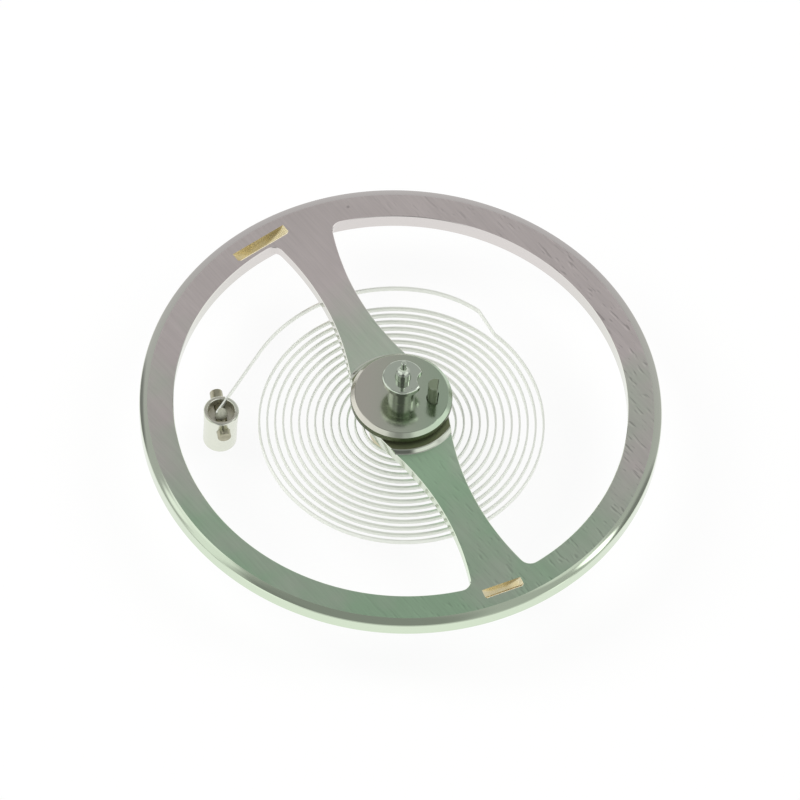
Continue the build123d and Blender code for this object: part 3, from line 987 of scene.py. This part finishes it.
# %% Saw the slot for the strip
slot_width = strip_thickness + 2 * stud_slot_clearance
slot_depth = stud_head_rise + strip_height + stud_slot_clearance
slot_middle = route.point - heading_vector(route.heading) * stud_head_radius
slot_size = (2 * stud_head_radius, slot_width, slot_depth + overrun)
slot_centre = (slot_middle.x, slot_middle.y, stud_top - slot_depth + slot_size[2] / 2)
cut_away(stud, block("slot_saw", slot_size, slot_centre, math.radians(route.heading)))
hand_over(stud, "hairspring_stud", "stud")
print(f"slot {slot_width:.2f} mm wide and {slot_depth:.2f} mm deep")

# %% [markdown]
# ## The drop of cement
# A drop of cement pulls itself nearly round while it is liquid, and it sags a little and wets whatever it
# touches. A sphere is its start. Its crown is lowered, it is pulled out along the strip, and it is cut
# off flat where it lies on the cup's floor.

# %% Set the cement
cement_radius = 0.13
cement_rings = 32
cement_flow = (1.0, 0.92, 0.97)
cement_floor = stud_top - stud_cup_depth
bpy.ops.object.select_all(action="DESELECT")
bpy.ops.mesh.primitive_uv_sphere_add(
    segments=2 * cement_rings,
    ring_count=cement_rings,
    radius=cement_radius,
    location=(stud_centre.x, stud_centre.y, stud_top - cement_radius),
    rotation=(0, 0, math.radians(route.heading)),
    scale=cement_flow,
)
cement = start_piece("set_cement")
file_flat(cement, (0, 0, cement_floor), (0, 0, 1), keep_outer=True)
hand_over(cement, "stud_cement", "stud", ROUNDED_SMOOTH_BELOW)
print(f"drop of cement {2 * cement_radius} mm across")

# %% [markdown]
# ## Colours and nodes
# Colours are written as the sRGB hex codes that a colour picker shows. Blender's sockets take linear
# light, so one function turns a code into linear values. Another adds a shader node with its options, and
# links each socket that is given another node or one of its outputs. Textures read Object coordinates,
# which are in metres here, so a material with a pattern starts with a Mapping node that turns them into
# millimetres. A noise texture then draws about one feature for each millimetre divided by its Scale, and
# so each Scale below is one over a size in millimetres.

# %% Turn a colour code into light
HEX_DIGITS = 16
HEX_TOP = 255
SRGB_LINEAR_END = 0.04045
SRGB_LINEAR_SLOPE = 12.92
SRGB_OFFSET = 0.055
SRGB_POWER = 2.4


def from_hex(code):
    """An sRGB colour such as #A8A4A0 as the linear colour that a socket takes."""
    channels = []
    for start in (1, 3, 5):
        value = int(code[start : start + 2], HEX_DIGITS) / HEX_TOP
        if value <= SRGB_LINEAR_END:
            channels.append(value / SRGB_LINEAR_SLOPE)
        else:
            channels.append(((value + SRGB_OFFSET) / (1 + SRGB_OFFSET)) ** SRGB_POWER)
    return (*channels, 1.0)


WHITE = from_hex("#FFFFFF")
print("the middle grey #808080 is", from_hex("#808080"), "in linear light")

# %% Add nodes and materials
PER_MM = (1 / MM, 1 / MM, 1 / MM)


def set_sockets(tree, node, sockets):
    """Sets or links a node's input sockets. Another node stands for its own first output."""
    for socket, value in sockets.items():
        if isinstance(value, bpy.types.Node):
            value = value.outputs[0]
        if isinstance(value, bpy.types.NodeSocket):
            tree.links.new(value, node.inputs[socket])
        else:
            node.inputs[socket].default_value = value


def add_node(tree, kind, sockets=None, **options):
    """Adds a shader node with its options, and sets or links its sockets."""
    made = tree.nodes.new("ShaderNode" + kind)
    for option, value in options.items():
        setattr(made, option, value)
    set_sockets(tree, made, sockets or {})
    return made


def new_material(name, **sockets):
    """A material with one Principled shader, whose constants are set on the shader's own sockets."""
    material = bpy.data.materials.new(name)
    material.use_nodes = True
    tree = material.node_tree
    shader = tree.nodes["Principled BSDF"]
    set_sockets(tree, shader, {socket.replace("_", " "): value for socket, value in sockets.items()})
    return material, tree, shader


def patterned_material(name, **sockets):
    """A material with the place on the piece in millimetres, for the patterns that it gets."""
    material, tree, shader = new_material(name, **sockets)
    place = add_node(tree, "TexCoord").outputs["Object"]
    in_mm = add_node(tree, "Mapping", {"Vector": place, "Scale": PER_MM})
    return material, tree, shader, in_mm


print(f"a pattern's place is scaled by {PER_MM[0]:.0f}, from metres to millimetres")

# %% [markdown]
# ## Brushed nickel plate
# The wheel is plated with nickel, a slightly warm white metal. Its flat faces were rubbed on a fine
# stone, which leaves close parallel lines that scatter the light, so they look soft and evenly grey. The
# tone goes from a pinkish grey at the far rim to a greenish one at the front and round the hub, which is a
# painted reflection of the room's greenish light, and a cloudy noise varies it at random. A ramp along Y,
# a round ramp about the hub and a cloudy noise are added up, and mix the two greys.

# %% Tone of the plate
# a Mix node for colours has its two colours and its result at these places among its sockets
COLOUR_A, COLOUR_B, COLOUR_RESULT = 6, 7, 2
nickel_pink = from_hex("#DED5D3")
nickel_green = from_hex("#AAC8AA")
# the greenish tone at the front and round the hub is a painted reflection of the room's greenish light
green_on_x_axis = 0.2
green_per_mm_along_y = -0.17
green_at_hub = 0.9
green_reach = 4.6
cloud_size = 1.3
cloud_detail = 3.0
cloud_strength = 1.4
NOISE_MIDDLE = 0.5
brushed_plate, tree, shader, in_mm = patterned_material("nickel_plate_brushed", Metallic=1.0)
axes = add_node(tree, "SeparateXYZ", {"Vector": in_mm})
along_y = {0: axes.outputs["Y"], 1: green_per_mm_along_y, 2: green_on_x_axis}
ramp = add_node(tree, "Math", along_y, operation="MULTIPLY_ADD")
hub_scale = (1 / green_reach, 1 / green_reach, 0.0)
about_hub = add_node(tree, "Mapping", {"Vector": in_mm, "Scale": hub_scale})
round_ramp = add_node(tree, "TexGradient", {"Vector": about_hub}, gradient_type="SPHERICAL")
near_hub = add_node(tree, "TexGradient", {"Vector": about_hub}, gradient_type="QUADRATIC_SPHERE")
greened_hub = {0: round_ramp.outputs["Fac"], 1: green_at_hub, 2: ramp}
both_ramps = add_node(tree, "Math", greened_hub, operation="MULTIPLY_ADD")
clouds = add_node(tree, "TexNoise", {"Vector": in_mm, "Scale": 1 / cloud_size, "Detail": cloud_detail})
centred = add_node(tree, "Math", {0: clouds, 1: NOISE_MIDDLE}, operation="SUBTRACT")
clouded = {0: centred, 1: cloud_strength, 2: both_ramps}
painted_tint_and_clouds = add_node(tree, "Math", clouded, operation="MULTIPLY_ADD", use_clamp=True)
two_greys = {"Factor": painted_tint_and_clouds, COLOUR_A: nickel_pink, COLOUR_B: nickel_green}
tone = add_node(tree, "Mix", two_greys, data_type="RGBA").outputs[COLOUR_RESULT]
print(f"plate tone: from pinkish to greenish over {-1 / green_per_mm_along_y:.1f} mm")

# %% [markdown]
# ## The brushed lines
# A stone of this grit leaves lines about 0.005 mm apart, far too fine to show at this size. They are
# drawn 0.04 mm apart, which is two pixels of the picture, and long and faint. A noise texture gives them
# when the coordinates are turned to the lines and then squeezed along them. The same lines vary the
# roughness and, through a Bump node, the relief.


# %% Brushed lines
def limits(side, low, high):
    """Two sockets of a range, by their names: the low and the high limit of its From or To side."""
    return {f"{side} Min": low, f"{side} Max": high}


# nearly all of a noise lies between these two values
NOISE_SPREAD = limits("From", 0.3, 0.7)
brush_turn = 49.0
brush_line_spacing = 0.04
brush_line_length = 0.9
brush_shades = (0.955, 1.035)
brush_roughness = (0.30, 0.40)
brush_relief = 0.0015
brush_relief_strength = 0.3
along_lines = add_node(tree, "Mapping", {"Vector": in_mm, "Rotation": (0, 0, math.radians(brush_turn))})
line_scale = (1 / brush_line_length, 1 / brush_line_spacing, 1.0)
squeezed = add_node(tree, "Mapping", {"Vector": along_lines, "Scale": line_scale})
lines = add_node(tree, "TexNoise", {"Vector": squeezed, "Scale": 1.0})
line_shade = add_node(tree, "MapRange", {"Value": lines, **NOISE_SPREAD, **limits("To", *brush_shades)})
dullness = add_node(tree, "MapRange", {"Value": lines, **NOISE_SPREAD, **limits("To", *brush_roughness)})
raised = {"Height": lines, "Strength": brush_relief_strength, "Distance": brush_relief * MM}
relief = add_node(tree, "Bump", raised)
set_sockets(tree, shader, {"Roughness": dullness, "Normal": relief})
print(f"brushed lines {brush_line_spacing} mm apart and about {brush_line_length} mm long")

# %% [markdown]
# ## Scratches and specks
# Years of cleaning leave short scratches along the brushing and a few dark specks. Most of the scratches
# lie on the right of the rim. Peaks of a second, shorter noise are the scratches, and a cloudy mask
# gathers them. Along one side of each runs a painted highlight, for the light on the edge of its groove,
# which is the same noise moved over by its width. The specks are the middles of a few cells of a Voronoi
# texture, whose random colours pick which cells get one.

# %% Scratches
scratch_width = 0.05
scratch_length = 0.32
scratch_depth = 0.3
scratch_waviness = 0.4
# a painted highlight along one side of each scratch, for the light on its relief
scratch_highlight_brightness = 0.14
# counted in widths of a scratch
highlight_beside_scratch = 0.8
scratches_start_at_x = -1.5
scratches_full_at_x = 4.5
# what the clouds are moved by, from where the scratches start to where they are full
cloud_offsets = (-0.5, 0.5)
scratch_peaks = (0.62, 0.70)
scratch_scale = (1 / scratch_length, 1 / scratch_width, 1.0)
marks = []
for moved in (0.0, highlight_beside_scratch):
    beside = {"Vector": along_lines, "Scale": scratch_scale, "Location": (0.0, moved, 0.0)}
    squeezed = add_node(tree, "Mapping", beside)
    wavy = {"Vector": squeezed, "Scale": 1.0, "Detail": 1.0, "Distortion": scratch_waviness}
    strokes = add_node(tree, "TexNoise", wavy)
    marks.append(add_node(tree, "MapRange", {"Value": strokes, **limits("From", *scratch_peaks)}))
dark_and_highlight = {0: marks[1], 1: -scratch_highlight_brightness / scratch_depth, 2: marks[0]}
pairs = add_node(tree, "Math", dark_and_highlight, operation="MULTIPLY_ADD")
reach = limits("From", scratches_start_at_x, scratches_full_at_x)
rightwards = {"Value": axes.outputs["X"], **reach, **limits("To", *cloud_offsets)}
towards_right = add_node(tree, "MapRange", rightwards)
gathered = add_node(tree, "Math", {0: towards_right, 1: clouds}, operation="ADD", use_clamp=True)
scratch_mask = add_node(tree, "Math", {0: pairs, 1: gathered}, operation="MULTIPLY")
print(f"scratches {scratch_width} mm wide and up to {scratch_length} mm long")

# %% Specks
speck_spacing = 0.3
speck_radius = 0.03
# a speck is full up to one share of its radius and is gone at the other
speck_softness_shares = (0.6, 1.4)
speck_depth = 0.3
bare_cells_share = 0.93
cells = add_node(tree, "TexVoronoi", {"Vector": in_mm, "Scale": 1 / speck_spacing})
# the distance is counted in cells
edge = limits("From", *(share * speck_radius / speck_spacing for share in speck_softness_shares))
speck = add_node(tree, "MapRange", {"Value": cells, **edge, **limits("To", 1.0, 0.0)})
cell_numbers = cells.outputs["Color"]
picked = add_node(tree, "Math", {0: cell_numbers, 1: bare_cells_share}, operation="GREATER_THAN")
speck_mask = add_node(tree, "Math", {0: speck, 1: picked}, operation="MULTIPLY")
print(f"specks {2 * speck_radius} mm across, one cell in {1 / (1 - bare_cells_share):.0f}")

# %% Shade the plate
cloud_shade = 0.22
# the arms are painted brighter round the hub: a painted sheen
painted_hub_sheen = 0.36
brightness = line_shade
for mark, strength in (
    (centred, cloud_shade),
    (near_hub.outputs["Fac"], painted_hub_sheen),
    (scratch_mask, -scratch_depth),
    (speck_mask, -speck_depth),
):
    brightness = add_node(tree, "Math", {0: mark, 1: strength, 2: brightness}, operation="MULTIPLY_ADD")
shaded = add_node(tree, "VectorMath", {0: tone, "Scale": brightness}, operation="SCALE")
set_sockets(tree, shader, {"Base Color": shaded})
print("brushed nickel plate:", len(tree.nodes), "nodes")

# %% [markdown]
# ## Turned nickel plate
# The bevels and walls of the wheel and the top of its boss came off the lathe and were not rubbed. They
# are the same metal, but bright: they mirror the room, with a faint unevenness. The marks of a fine lathe
# tool are about 0.01 mm apart. A cloudy noise of 0.3 mm stands for them, because rings that fine would
# not show. The tone goes from a warm white at the far side to a greenish one in front, like that of the
# faces, and like it is a painted reflection of the room's greenish light. The boss's top, under the roller
# table, is painted dark: it is painted shade under the table.


# %% Turned nickel plate
def plain_material(name, colour, **sockets):
    """A material that is the same all over."""
    return new_material(name, Base_Color=from_hex(colour), **sockets)[0]


plate_unevenness = 0.3
turned_roughness = (0.05, 0.10)
# the greenish near tone is a painted reflection of the room's greenish light
turned_far = from_hex("#DBD6D4")
turned_near = from_hex("#D5E3CC")
turned_reach = 3.5
turned_plate, tree, shader, in_mm = patterned_material("nickel_plate_turned", Metallic=1.0)
axes = add_node(tree, "SeparateXYZ", {"Vector": in_mm})
towards_front = {"Value": axes.outputs["Y"], **limits("From", turned_reach, -turned_reach)}
nearness = add_node(tree, "MapRange", towards_front)
two_whites = {"Factor": nearness, COLOUR_A: turned_far, COLOUR_B: turned_near}
tone = add_node(tree, "Mix", two_whites, data_type="RGBA").outputs[COLOUR_RESULT]
uneven = add_node(tree, "TexNoise", {"Vector": in_mm, "Scale": 1 / plate_unevenness})
dullness = add_node(tree, "MapRange", {"Value": uneven, **NOISE_SPREAD, **limits("To", *turned_roughness)})
set_sockets(tree, shader, {"Base Color": tone, "Roughness": dullness})
# the boss's top under the roller table is painted dark, as painted shade
boss_plate_in_painted_shade = plain_material("nickel_plate_painted_shade", "#9CA281", Metallic=1.0, Roughness=0.5)
print("turned nickel plate: roughness", turned_roughness)

# %% [markdown]
# ## The bare alloy in the pockets
# Under the plating the wheel is a copper alloy, pale golden where the cutter has gone through. A milled
# surface is rough enough to scatter what it reflects. The cutter's ridges are 0.02 mm apart on the real
# one and are drawn 0.25 mm apart, so that they show as soft golden and pale patches. The scraped edge is
# painted paler still, nearly white and hardly metallic, as a painted highlight for the bright line that it
# catches.

# %% Milled copper alloy
ridge_spacing = 0.25
ridge_height = 0.003
ridge_strength = 0.4
ridge_roughness = (0.22, 0.34)
alloy_golden = from_hex("#DFCB8B")
alloy_pale = from_hex("#F5F0D8")
milled_alloy, tree, shader, in_mm = patterned_material("copper_alloy_milled", Metallic=0.75)
ridges = add_node(tree, "TexNoise", {"Vector": in_mm, "Scale": 1 / ridge_spacing})
two_golds = {"Factor": ridges, COLOUR_A: alloy_golden, COLOUR_B: alloy_pale}
tone = add_node(tree, "Mix", two_golds, data_type="RGBA").outputs[COLOUR_RESULT]
dullness = add_node(tree, "MapRange", {"Value": ridges, **NOISE_SPREAD, **limits("To", *ridge_roughness)})
raised = {"Height": ridges, "Strength": ridge_strength, "Distance": ridge_height * MM}
relief = add_node(tree, "Bump", raised)
set_sockets(tree, shader, {"Base Color": tone, "Roughness": dullness, "Normal": relief})
# the scraped edge's near-white is a painted highlight
scraped_edge_painted_highlight = plain_material("copper_alloy_scraped_painted_highlight", "#F8F0DA", Metallic=0.2, Roughness=0.4)
print(f"milled alloy: ridges {ridge_spacing} mm apart")

# %% [markdown]
# ## Polished steel
# The staff and the safety roller are hardened steel, polished until they mirror what is around them.
# Polished steel has almost no colour of its own, and what the eye reads as its shade is the room. The
# roller table was lapped on a flat plate, which leaves it softer, with patches of uneven polish of 0.4 mm.
# It is painted lighter and warm on the left and greenish on the right, a painted reflection of the room.
# Its side was left as turned, and is painted dark, as painted shade under the table's edge.

# %% Steel
polish_patch = 0.4
lapped_roughness = (0.12, 0.19)
# the table is painted lighter and warm on the left and greenish on the right: a painted reflection
steel_left = from_hex("#CCCABF")
steel_right = from_hex("#B5C7B0")
steel_reach = 0.7
lapped_steel, tree, shader, in_mm = patterned_material("steel_lapped", Metallic=1.0)
polish = add_node(tree, "TexNoise", {"Vector": in_mm, "Scale": 1 / polish_patch})
dullness = add_node(tree, "MapRange", {"Value": polish, **NOISE_SPREAD, **limits("To", *lapped_roughness)})
axes = add_node(tree, "SeparateXYZ", {"Vector": in_mm})
rightwards = {"Value": axes.outputs["X"], **limits("From", -steel_reach, steel_reach)}
rightness = add_node(tree, "MapRange", rightwards)
painted_reflection_tint = {"Factor": rightness, COLOUR_A: steel_left, COLOUR_B: steel_right}
tone = add_node(tree, "Mix", painted_reflection_tint, data_type="RGBA").outputs[COLOUR_RESULT]
set_sockets(tree, shader, {"Base Color": tone, "Roughness": dullness})
polished_steel = plain_material("steel_polished", "#CBD4C6", Metallic=1.0, Roughness=0.07)
# the table's side is painted dark, as painted shade under its edge
table_side_in_painted_shade = plain_material("steel_turned_painted_shade", "#5C6549", Metallic=1.0, Roughness=0.3)
print("lapped steel: roughness", lapped_roughness)

# %% [markdown]
# ## The other metals
# The hairspring is rolled from a pale nickel alloy. Its surface is dull enough to scatter part of the
# light, so it is only half metallic here. The collet is pale brass. The stud is steel under a pale nickel
# plate. Its cup is a little darker and rougher inside, the darker colour being painted shade in the
# hollow, and its pin is plain steel, brownish and a little rough.

# %% Spring alloy, brass and stud steel
spring_alloy = plain_material("spring_alloy_rolled", "#EFF2EA", Metallic=0.55, Roughness=0.3)
bare_brass = plain_material("brass_turned", "#CBC5A6", Metallic=1.0, Roughness=0.34)
stud_plate = plain_material("nickel_plate_on_stud", "#E3E6D9", Metallic=1.0, Roughness=0.25)
# the cup's darker colour is painted shade in the hollow
stud_cup = plain_material("steel_cup_painted_shade", "#D2D0C2", Metallic=1.0, Roughness=0.45)
pin_patch = 0.12
pin_brown = from_hex("#8F8D76")
pin_bright = from_hex("#C3C0AB")
pin_steel, tree, shader, in_mm = patterned_material("steel_plain_pin", Metallic=1.0, Roughness=0.24)
film = add_node(tree, "TexNoise", {"Vector": in_mm, "Scale": 1 / pin_patch})
two_steels = {"Factor": film, COLOUR_A: pin_brown, COLOUR_B: pin_bright}
tone = add_node(tree, "Mix", two_steels, data_type="RGBA").outputs[COLOUR_RESULT]
set_sockets(tree, shader, {"Base Color": tone})
print(f"pin steel: brownish patches of {pin_patch} mm")

# %% [markdown]
# ## Jewel, shellac and cement
# The impulse jewel is synthetic corundum, polished and dark, with a higher index of refraction than
# glass, so its reflections are strong. Shellac is an amber resin, and the cement has set to a pale glossy
# drop.

# %% Corundum, shellac and cement
corundum = plain_material("corundum_polished", "#68745C", Roughness=0.12, IOR=1.77)
amber_shellac = plain_material("shellac_amber", "#6B3510", Roughness=0.12, IOR=1.52, Coat_Weight=0.5)
clear_cement = plain_material("cement_drop", "#A3A595", Roughness=0.08, IOR=1.6)
print("corundum, shellac and cement made")

# %% [markdown]
# ## Dressing the pieces
# Most pieces are of one finish. The wheel has five, and its faces are told apart by their normals and
# places: flat faces were brushed, bevels and walls were turned, and what lies in a pocket's outline below
# the rim's face was milled. The top of the boss gets painted shade, and a pocket's broken edge, which was
# scraped, gets a painted highlight. The first material goes everywhere, and the later ones are assigned
# over it.

# %% Dress the wheel
FLAT_ENOUGH = 0.995


def dress(piece, *materials):
    """Puts materials in the piece's slots, the first for all faces that no other one is assigned to."""
    piece.data.materials.clear()
    for material in materials:
        piece.data.materials.append(material)


def assign(piece, material, wanted):
    """Gives one of the piece's materials to the faces whose centre and normal are wanted."""
    pick_faces(piece, wanted)
    piece.active_material_index = piece.data.materials.find(material.name)
    bpy.ops.object.material_slot_assign()
    bpy.ops.object.mode_set(mode="OBJECT")


dress(wheel, turned_plate, brushed_plate, milled_alloy, boss_plate_in_painted_shade, scraped_edge_painted_highlight)


def is_flat(centre, normal):
    """Whether a face lies level, on either side of the wheel."""
    return abs(normal.z) > FLAT_ENOUGH


def on_boss(centre, normal):
    """Whether a face is the top of the boss."""
    return normal.z > FLAT_ENOUGH and centre.z > (rim_top + boss_top) / 2 * MM


def in_pocket(centre, normal):
    """Whether a face lies within a pocket's outline and below the rim's face."""
    for pocket in (near_pocket, far_pocket):
        middle = rim_inner_radius + pocket["land"] + pocket["width"] / 2
        offset = centre.to_2d() / MM - heading_vector(pocket["direction"]) * middle
        wide_way = heading_vector(pocket["direction"] + pocket["turn"])
        long_way = heading_vector(pocket["direction"] + pocket["turn"] + 90)
        inside = abs(offset.dot(long_way)) < pocket["length"] / 2 + MERGE_DISTANCE
        inside = inside and abs(offset.dot(wide_way)) < pocket["width"] / 2 + MERGE_DISTANCE
        if inside and arm_bottom < centre.z / MM < rim_top - MERGE_DISTANCE:
            return True
    return False


def on_scraped_edge(centre, normal):
    """Whether a face of a pocket slopes down across it, as only its broken edge does."""
    across = Vector((centre.x, centre.y, 0)).normalized()
    slopes = abs(normal.z) > LOOKS_ALONG and abs(normal.dot(across)) > LOOKS_ALONG
    return slopes and in_pocket(centre, normal)


assign(wheel, brushed_plate, is_flat)
assign(wheel, boss_plate_in_painted_shade, on_boss)
assign(wheel, milled_alloy, in_pocket)
assign(wheel, scraped_edge_painted_highlight, on_scraped_edge)
print("wheel: turned, brushed and milled faces")

# %% Dress the other pieces
opening_margin = 0.2


def on_table_side(centre, normal):
    """Whether a face is part of the roller table's upright side, below the bevel."""
    return abs(normal.z) < LOOKS_ALONG and centre.z < (table_top - table_bevel_drop) * MM


def in_cup(centre, normal):
    """Whether a face of the stud belongs to the cup or to one of the openings in its wall."""
    from_middle = (centre.to_2d() / MM - stud_centre).length
    above = centre.z / MM > stud_top - slot_depth - opening_margin
    return from_middle < stud_cup_radius + MERGE_DISTANCE and above


dress(table, lapped_steel, table_side_in_painted_shade)
assign(table, table_side_in_painted_shade, on_table_side)
dress(stud, stud_plate, stud_cup)
assign(stud, stud_cup, in_cup)
for piece, material in (
    (staff, polished_steel),
    (safety_roller, polished_steel),
    (jewel, corundum),
    (shellac, amber_shellac),
    (collet, bare_brass),
    (collet_pin, bare_brass),
    (spring, spring_alloy),
    (stud_pin, pin_steel),
    (cement, clear_cement),
):
    dress(piece, material)
print("all pieces dressed")

# %% [markdown]
# ## The camera
# The picture was taken from above and in front, at a steep angle, with the camera turned a little. The
# distance is large against the 10 mm of the wheel, so there is hardly any perspective.

# %% Place the camera
camera_azimuth = -91.1
camera_elevation = 56.43
camera_roll = 4.3
camera_distance = 0.25
# the camera sees what is nearer and farther than the object by these shares of its distance
clip_start_share = 0.1
clip_end_share = 100
picture_size = 800
picture_pixels_per_mm = 52.3
picture_centre = (400.9, 404.15)
sensor_width = 36.0
target = Vector((0, 0, rim_top * MM))


def room_way(from_camera, elevation):
    """A direction in the room, by its azimuth counted to the right of the camera's and its elevation."""
    flat = heading_vector(camera_azimuth + from_camera) * math.cos(math.radians(elevation))
    return Vector((flat.x, flat.y, math.sin(math.radians(elevation))))


def stand(name, data, way, distance):
    """Puts a camera or a lamp in a direction of the room, and points it back at the object."""
    standing = bpy.data.objects.new(name, data)
    bpy.context.collection.objects.link(standing)
    standing.location = target + way * distance
    standing.rotation_mode = "QUATERNION"
    standing.rotation_quaternion = (-way).to_track_quat("-Z", "Y")
    return standing


camera_data = bpy.data.cameras.new("camera")
camera_data.sensor_width = sensor_width
view_width = picture_size / picture_pixels_per_mm * MM
camera_data.lens = sensor_width * camera_distance / view_width
camera_data.shift_x = (picture_size / 2 - picture_centre[0]) / picture_size
camera_data.shift_y = (picture_centre[1] - picture_size / 2) / picture_size
camera_data.clip_start = camera_distance * clip_start_share
camera_data.clip_end = camera_distance * clip_end_share
camera = stand("camera", camera_data, room_way(0.0, camera_elevation), camera_distance)
camera.rotation_quaternion = camera.rotation_quaternion @ Quaternion((0, 0, 1), math.radians(camera_roll))
bpy.context.scene.camera = camera
print(f"lens {camera_data.lens:.0f} mm at {camera_distance} m")

# %% [markdown]
# ## The room
# Metal shows the room more than itself, so the room is built with care. Its horizon is pale and its
# ceiling is dimmer, which is what gives the flat faces their mid grey. In front and overhead it has dark
# patches, and soft bright panels stand at the sides and low in front, as windows would. Where patches of
# a kind overlap, the strongest counts. All of this reads the direction of a ray in the room. The camera
# itself sees plain white.

# %% Ceiling and horizon
ceiling_light = 0.50
horizon_light = 0.66
# heights are sines of the elevation
horizon_height = 0.2
ceiling_height = 0.75
room = bpy.data.worlds.new("studio")
bpy.context.scene.world = room
room.use_nodes = True
tree = room.node_tree
tree.nodes.clear()
ray_way = add_node(tree, "TexCoord").outputs["Generated"]
height = add_node(tree, "SeparateXYZ", {"Vector": ray_way}).outputs["Z"]
upwards = limits("From", horizon_height, ceiling_height)
light = add_node(tree, "MapRange", {"Value": height, **upwards, **limits("To", horizon_light, ceiling_light)})
print("room: horizon", horizon_light, "ceiling", ceiling_light)

# %% Dark and bright patches
# each patch: azimuth from the camera, elevation, the angle to which it is full, the angle at which it
# ends, and how many times the room's light it has
dark_patches = (
    (0.0, 53.0, 13.0, 23.0, 0.3),
    (0.0, 30.0, 3.0, 10.0, 0.7),
    (-25.0, 78.0, 14.0, 24.0, 0.6),
    (-62.0, 66.0, 7.0, 14.0, 0.55),
    (112.0, 43.0, 6.0, 12.0, 0.48),
    (-125.0, 34.0, 6.0, 12.0, 0.45),
)
bright_patches = (
    (-126.0, 64.0, 5.0, 9.0, 2.1),
    (122.0, 66.0, 3.0, 8.0, 1.6),
    (-88.0, 59.0, 5.0, 10.0, 1.9),
    (-108.0, 63.0, 5.0, 9.0, 1.9),
    (-112.0, 56.0, 2.0, 6.0, 2.2),
    (108.0, 57.0, 2.0, 6.0, 4.5),
    (-48.0, 26.0, 20.0, 30.0, 1.8),
    (-92.0, 8.0, 20.0, 32.0, 1.8),
    (48.0, 36.0, 14.0, 24.0, 1.8),
    (80.0, 12.0, 20.0, 32.0, 1.8),
)
for patches, strongest in ((dark_patches, "MINIMUM"), (bright_patches, "MAXIMUM")):
    times_light = 1.0
    for from_camera, elevation, full, ended, times in patches:
        middle = room_way(from_camera, elevation)
        towards = add_node(tree, "VectorMath", {0: ray_way, 1: middle}, operation="DOT_PRODUCT")
        edge = limits("From", math.cos(math.radians(ended)), math.cos(math.radians(full)))
        fading = {"Value": towards.outputs["Value"], **edge, **limits("To", 1.0, times)}
        patch = add_node(tree, "MapRange", fading, interpolation_type="SMOOTHSTEP")
        times_light = add_node(tree, "Math", {0: times_light, 1: patch}, operation=strongest)
    light = add_node(tree, "Math", {0: light, 1: times_light}, operation="MULTIPLY")
print("room:", len(dark_patches), "dark patches and", len(bright_patches), "bright ones")

# %% White behind the object
is_camera = add_node(tree, "LightPath").outputs["Is Camera Ray"]
room_light = add_node(tree, "Background", {"Color": WHITE, "Strength": light})
backdrop = add_node(tree, "Background", {"Color": WHITE, "Strength": 1.0})
seen = add_node(tree, "MixShader", {"Fac": is_camera, 1: room_light, 2: backdrop})
add_node(tree, "OutputWorld", {"Surface": seen})
print("world: white to the camera")

# %% [markdown]
# ## The lamps
# Two soft lamps stand left and right above the object and bring the light up to a plain level. They are
# large against the object, so its shadow is soft. The metal doesn't mirror them, because the bright
# panels of the room are already what it shows.

# %% Hang the lamps
lamp_distance = 0.2
lamp_size = 0.12
# each lamp: azimuth from the camera, elevation and power in watts
lamps = {
    "left_softbox": (-95.0, 46.0, 0.2),
    "right_softbox": (100.0, 52.0, 0.12),
}
for name, (from_camera, elevation, power) in lamps.items():
    lamp_data = bpy.data.lights.new(name, "AREA")
    lamp_data.shape = "DISK"
    lamp_data.size = lamp_size
    lamp_data.energy = power
    lamp = stand(name, lamp_data, room_way(from_camera, elevation), lamp_distance)
    lamp.visible_glossy = False
    print(f"{name}: {lamp_size / MM:.0f} mm across, {power} W")

# %% [markdown]
# ## The floor
# The floor is a wide white sheet on a grey table. To the camera, and in the metal, most of its light is a
# plain glow of strength one, which is white, and the rest is its real lit surface, so the object's soft
# shadow stays on it. The metal sees that glow fade where the sheet ends, which keeps the far side of the
# rim from turning white.

# %% Lay the floor
floor_radius = 0.6
floor_sides = 64
floor_glow_share = 0.9
sheet_radius = 20.0
sheet_end_radius = 45.0
table_glow = 0.6
bpy.ops.object.select_all(action="DESELECT")
bpy.ops.mesh.primitive_circle_add(
    vertices=floor_sides, radius=floor_radius, fill_type="NGON", location=(0, 0, 0)
)
floor = start_piece("floor")
paper_colour = from_hex("#F4F4F2")
paper, tree, shader, in_mm = patterned_material("floor_paper", Base_Color=paper_colour, Roughness=0.9)
away = add_node(tree, "VectorMath", {0: in_mm}, operation="LENGTH").outputs["Value"]
sheet_edge = limits("From", sheet_radius, sheet_end_radius)
fading = add_node(tree, "MapRange", {"Value": away, **sheet_edge, **limits("To", 1.0, table_glow)})
rays = add_node(tree, "LightPath")
to_camera = rays.outputs["Is Camera Ray"]
glow_strength = add_node(tree, "Math", {0: to_camera, 1: fading}, operation="MAXIMUM")
glow = add_node(tree, "Emission", {"Color": WHITE, "Strength": glow_strength})
print(f"floor: white sheet to {sheet_radius} mm, table beyond {sheet_end_radius} mm")

# %% Mix the glow with the lit paper
seen_directly = to_camera
for kind in ("Is Glossy Ray", "Is Transmission Ray"):
    seen_directly = add_node(tree, "Math", {0: seen_directly, 1: rays.outputs[kind]}, operation="MAXIMUM")
share = add_node(tree, "Math", {0: seen_directly, 1: floor_glow_share}, operation="MULTIPLY")
mixed = add_node(tree, "MixShader", {"Fac": share, 1: shader, 2: glow})
set_sockets(tree, tree.nodes["Material Output"], {"Surface": mixed})
dress(floor, paper)
bpy.context.scene.view_settings.view_transform = "Standard"
print("floor laid")
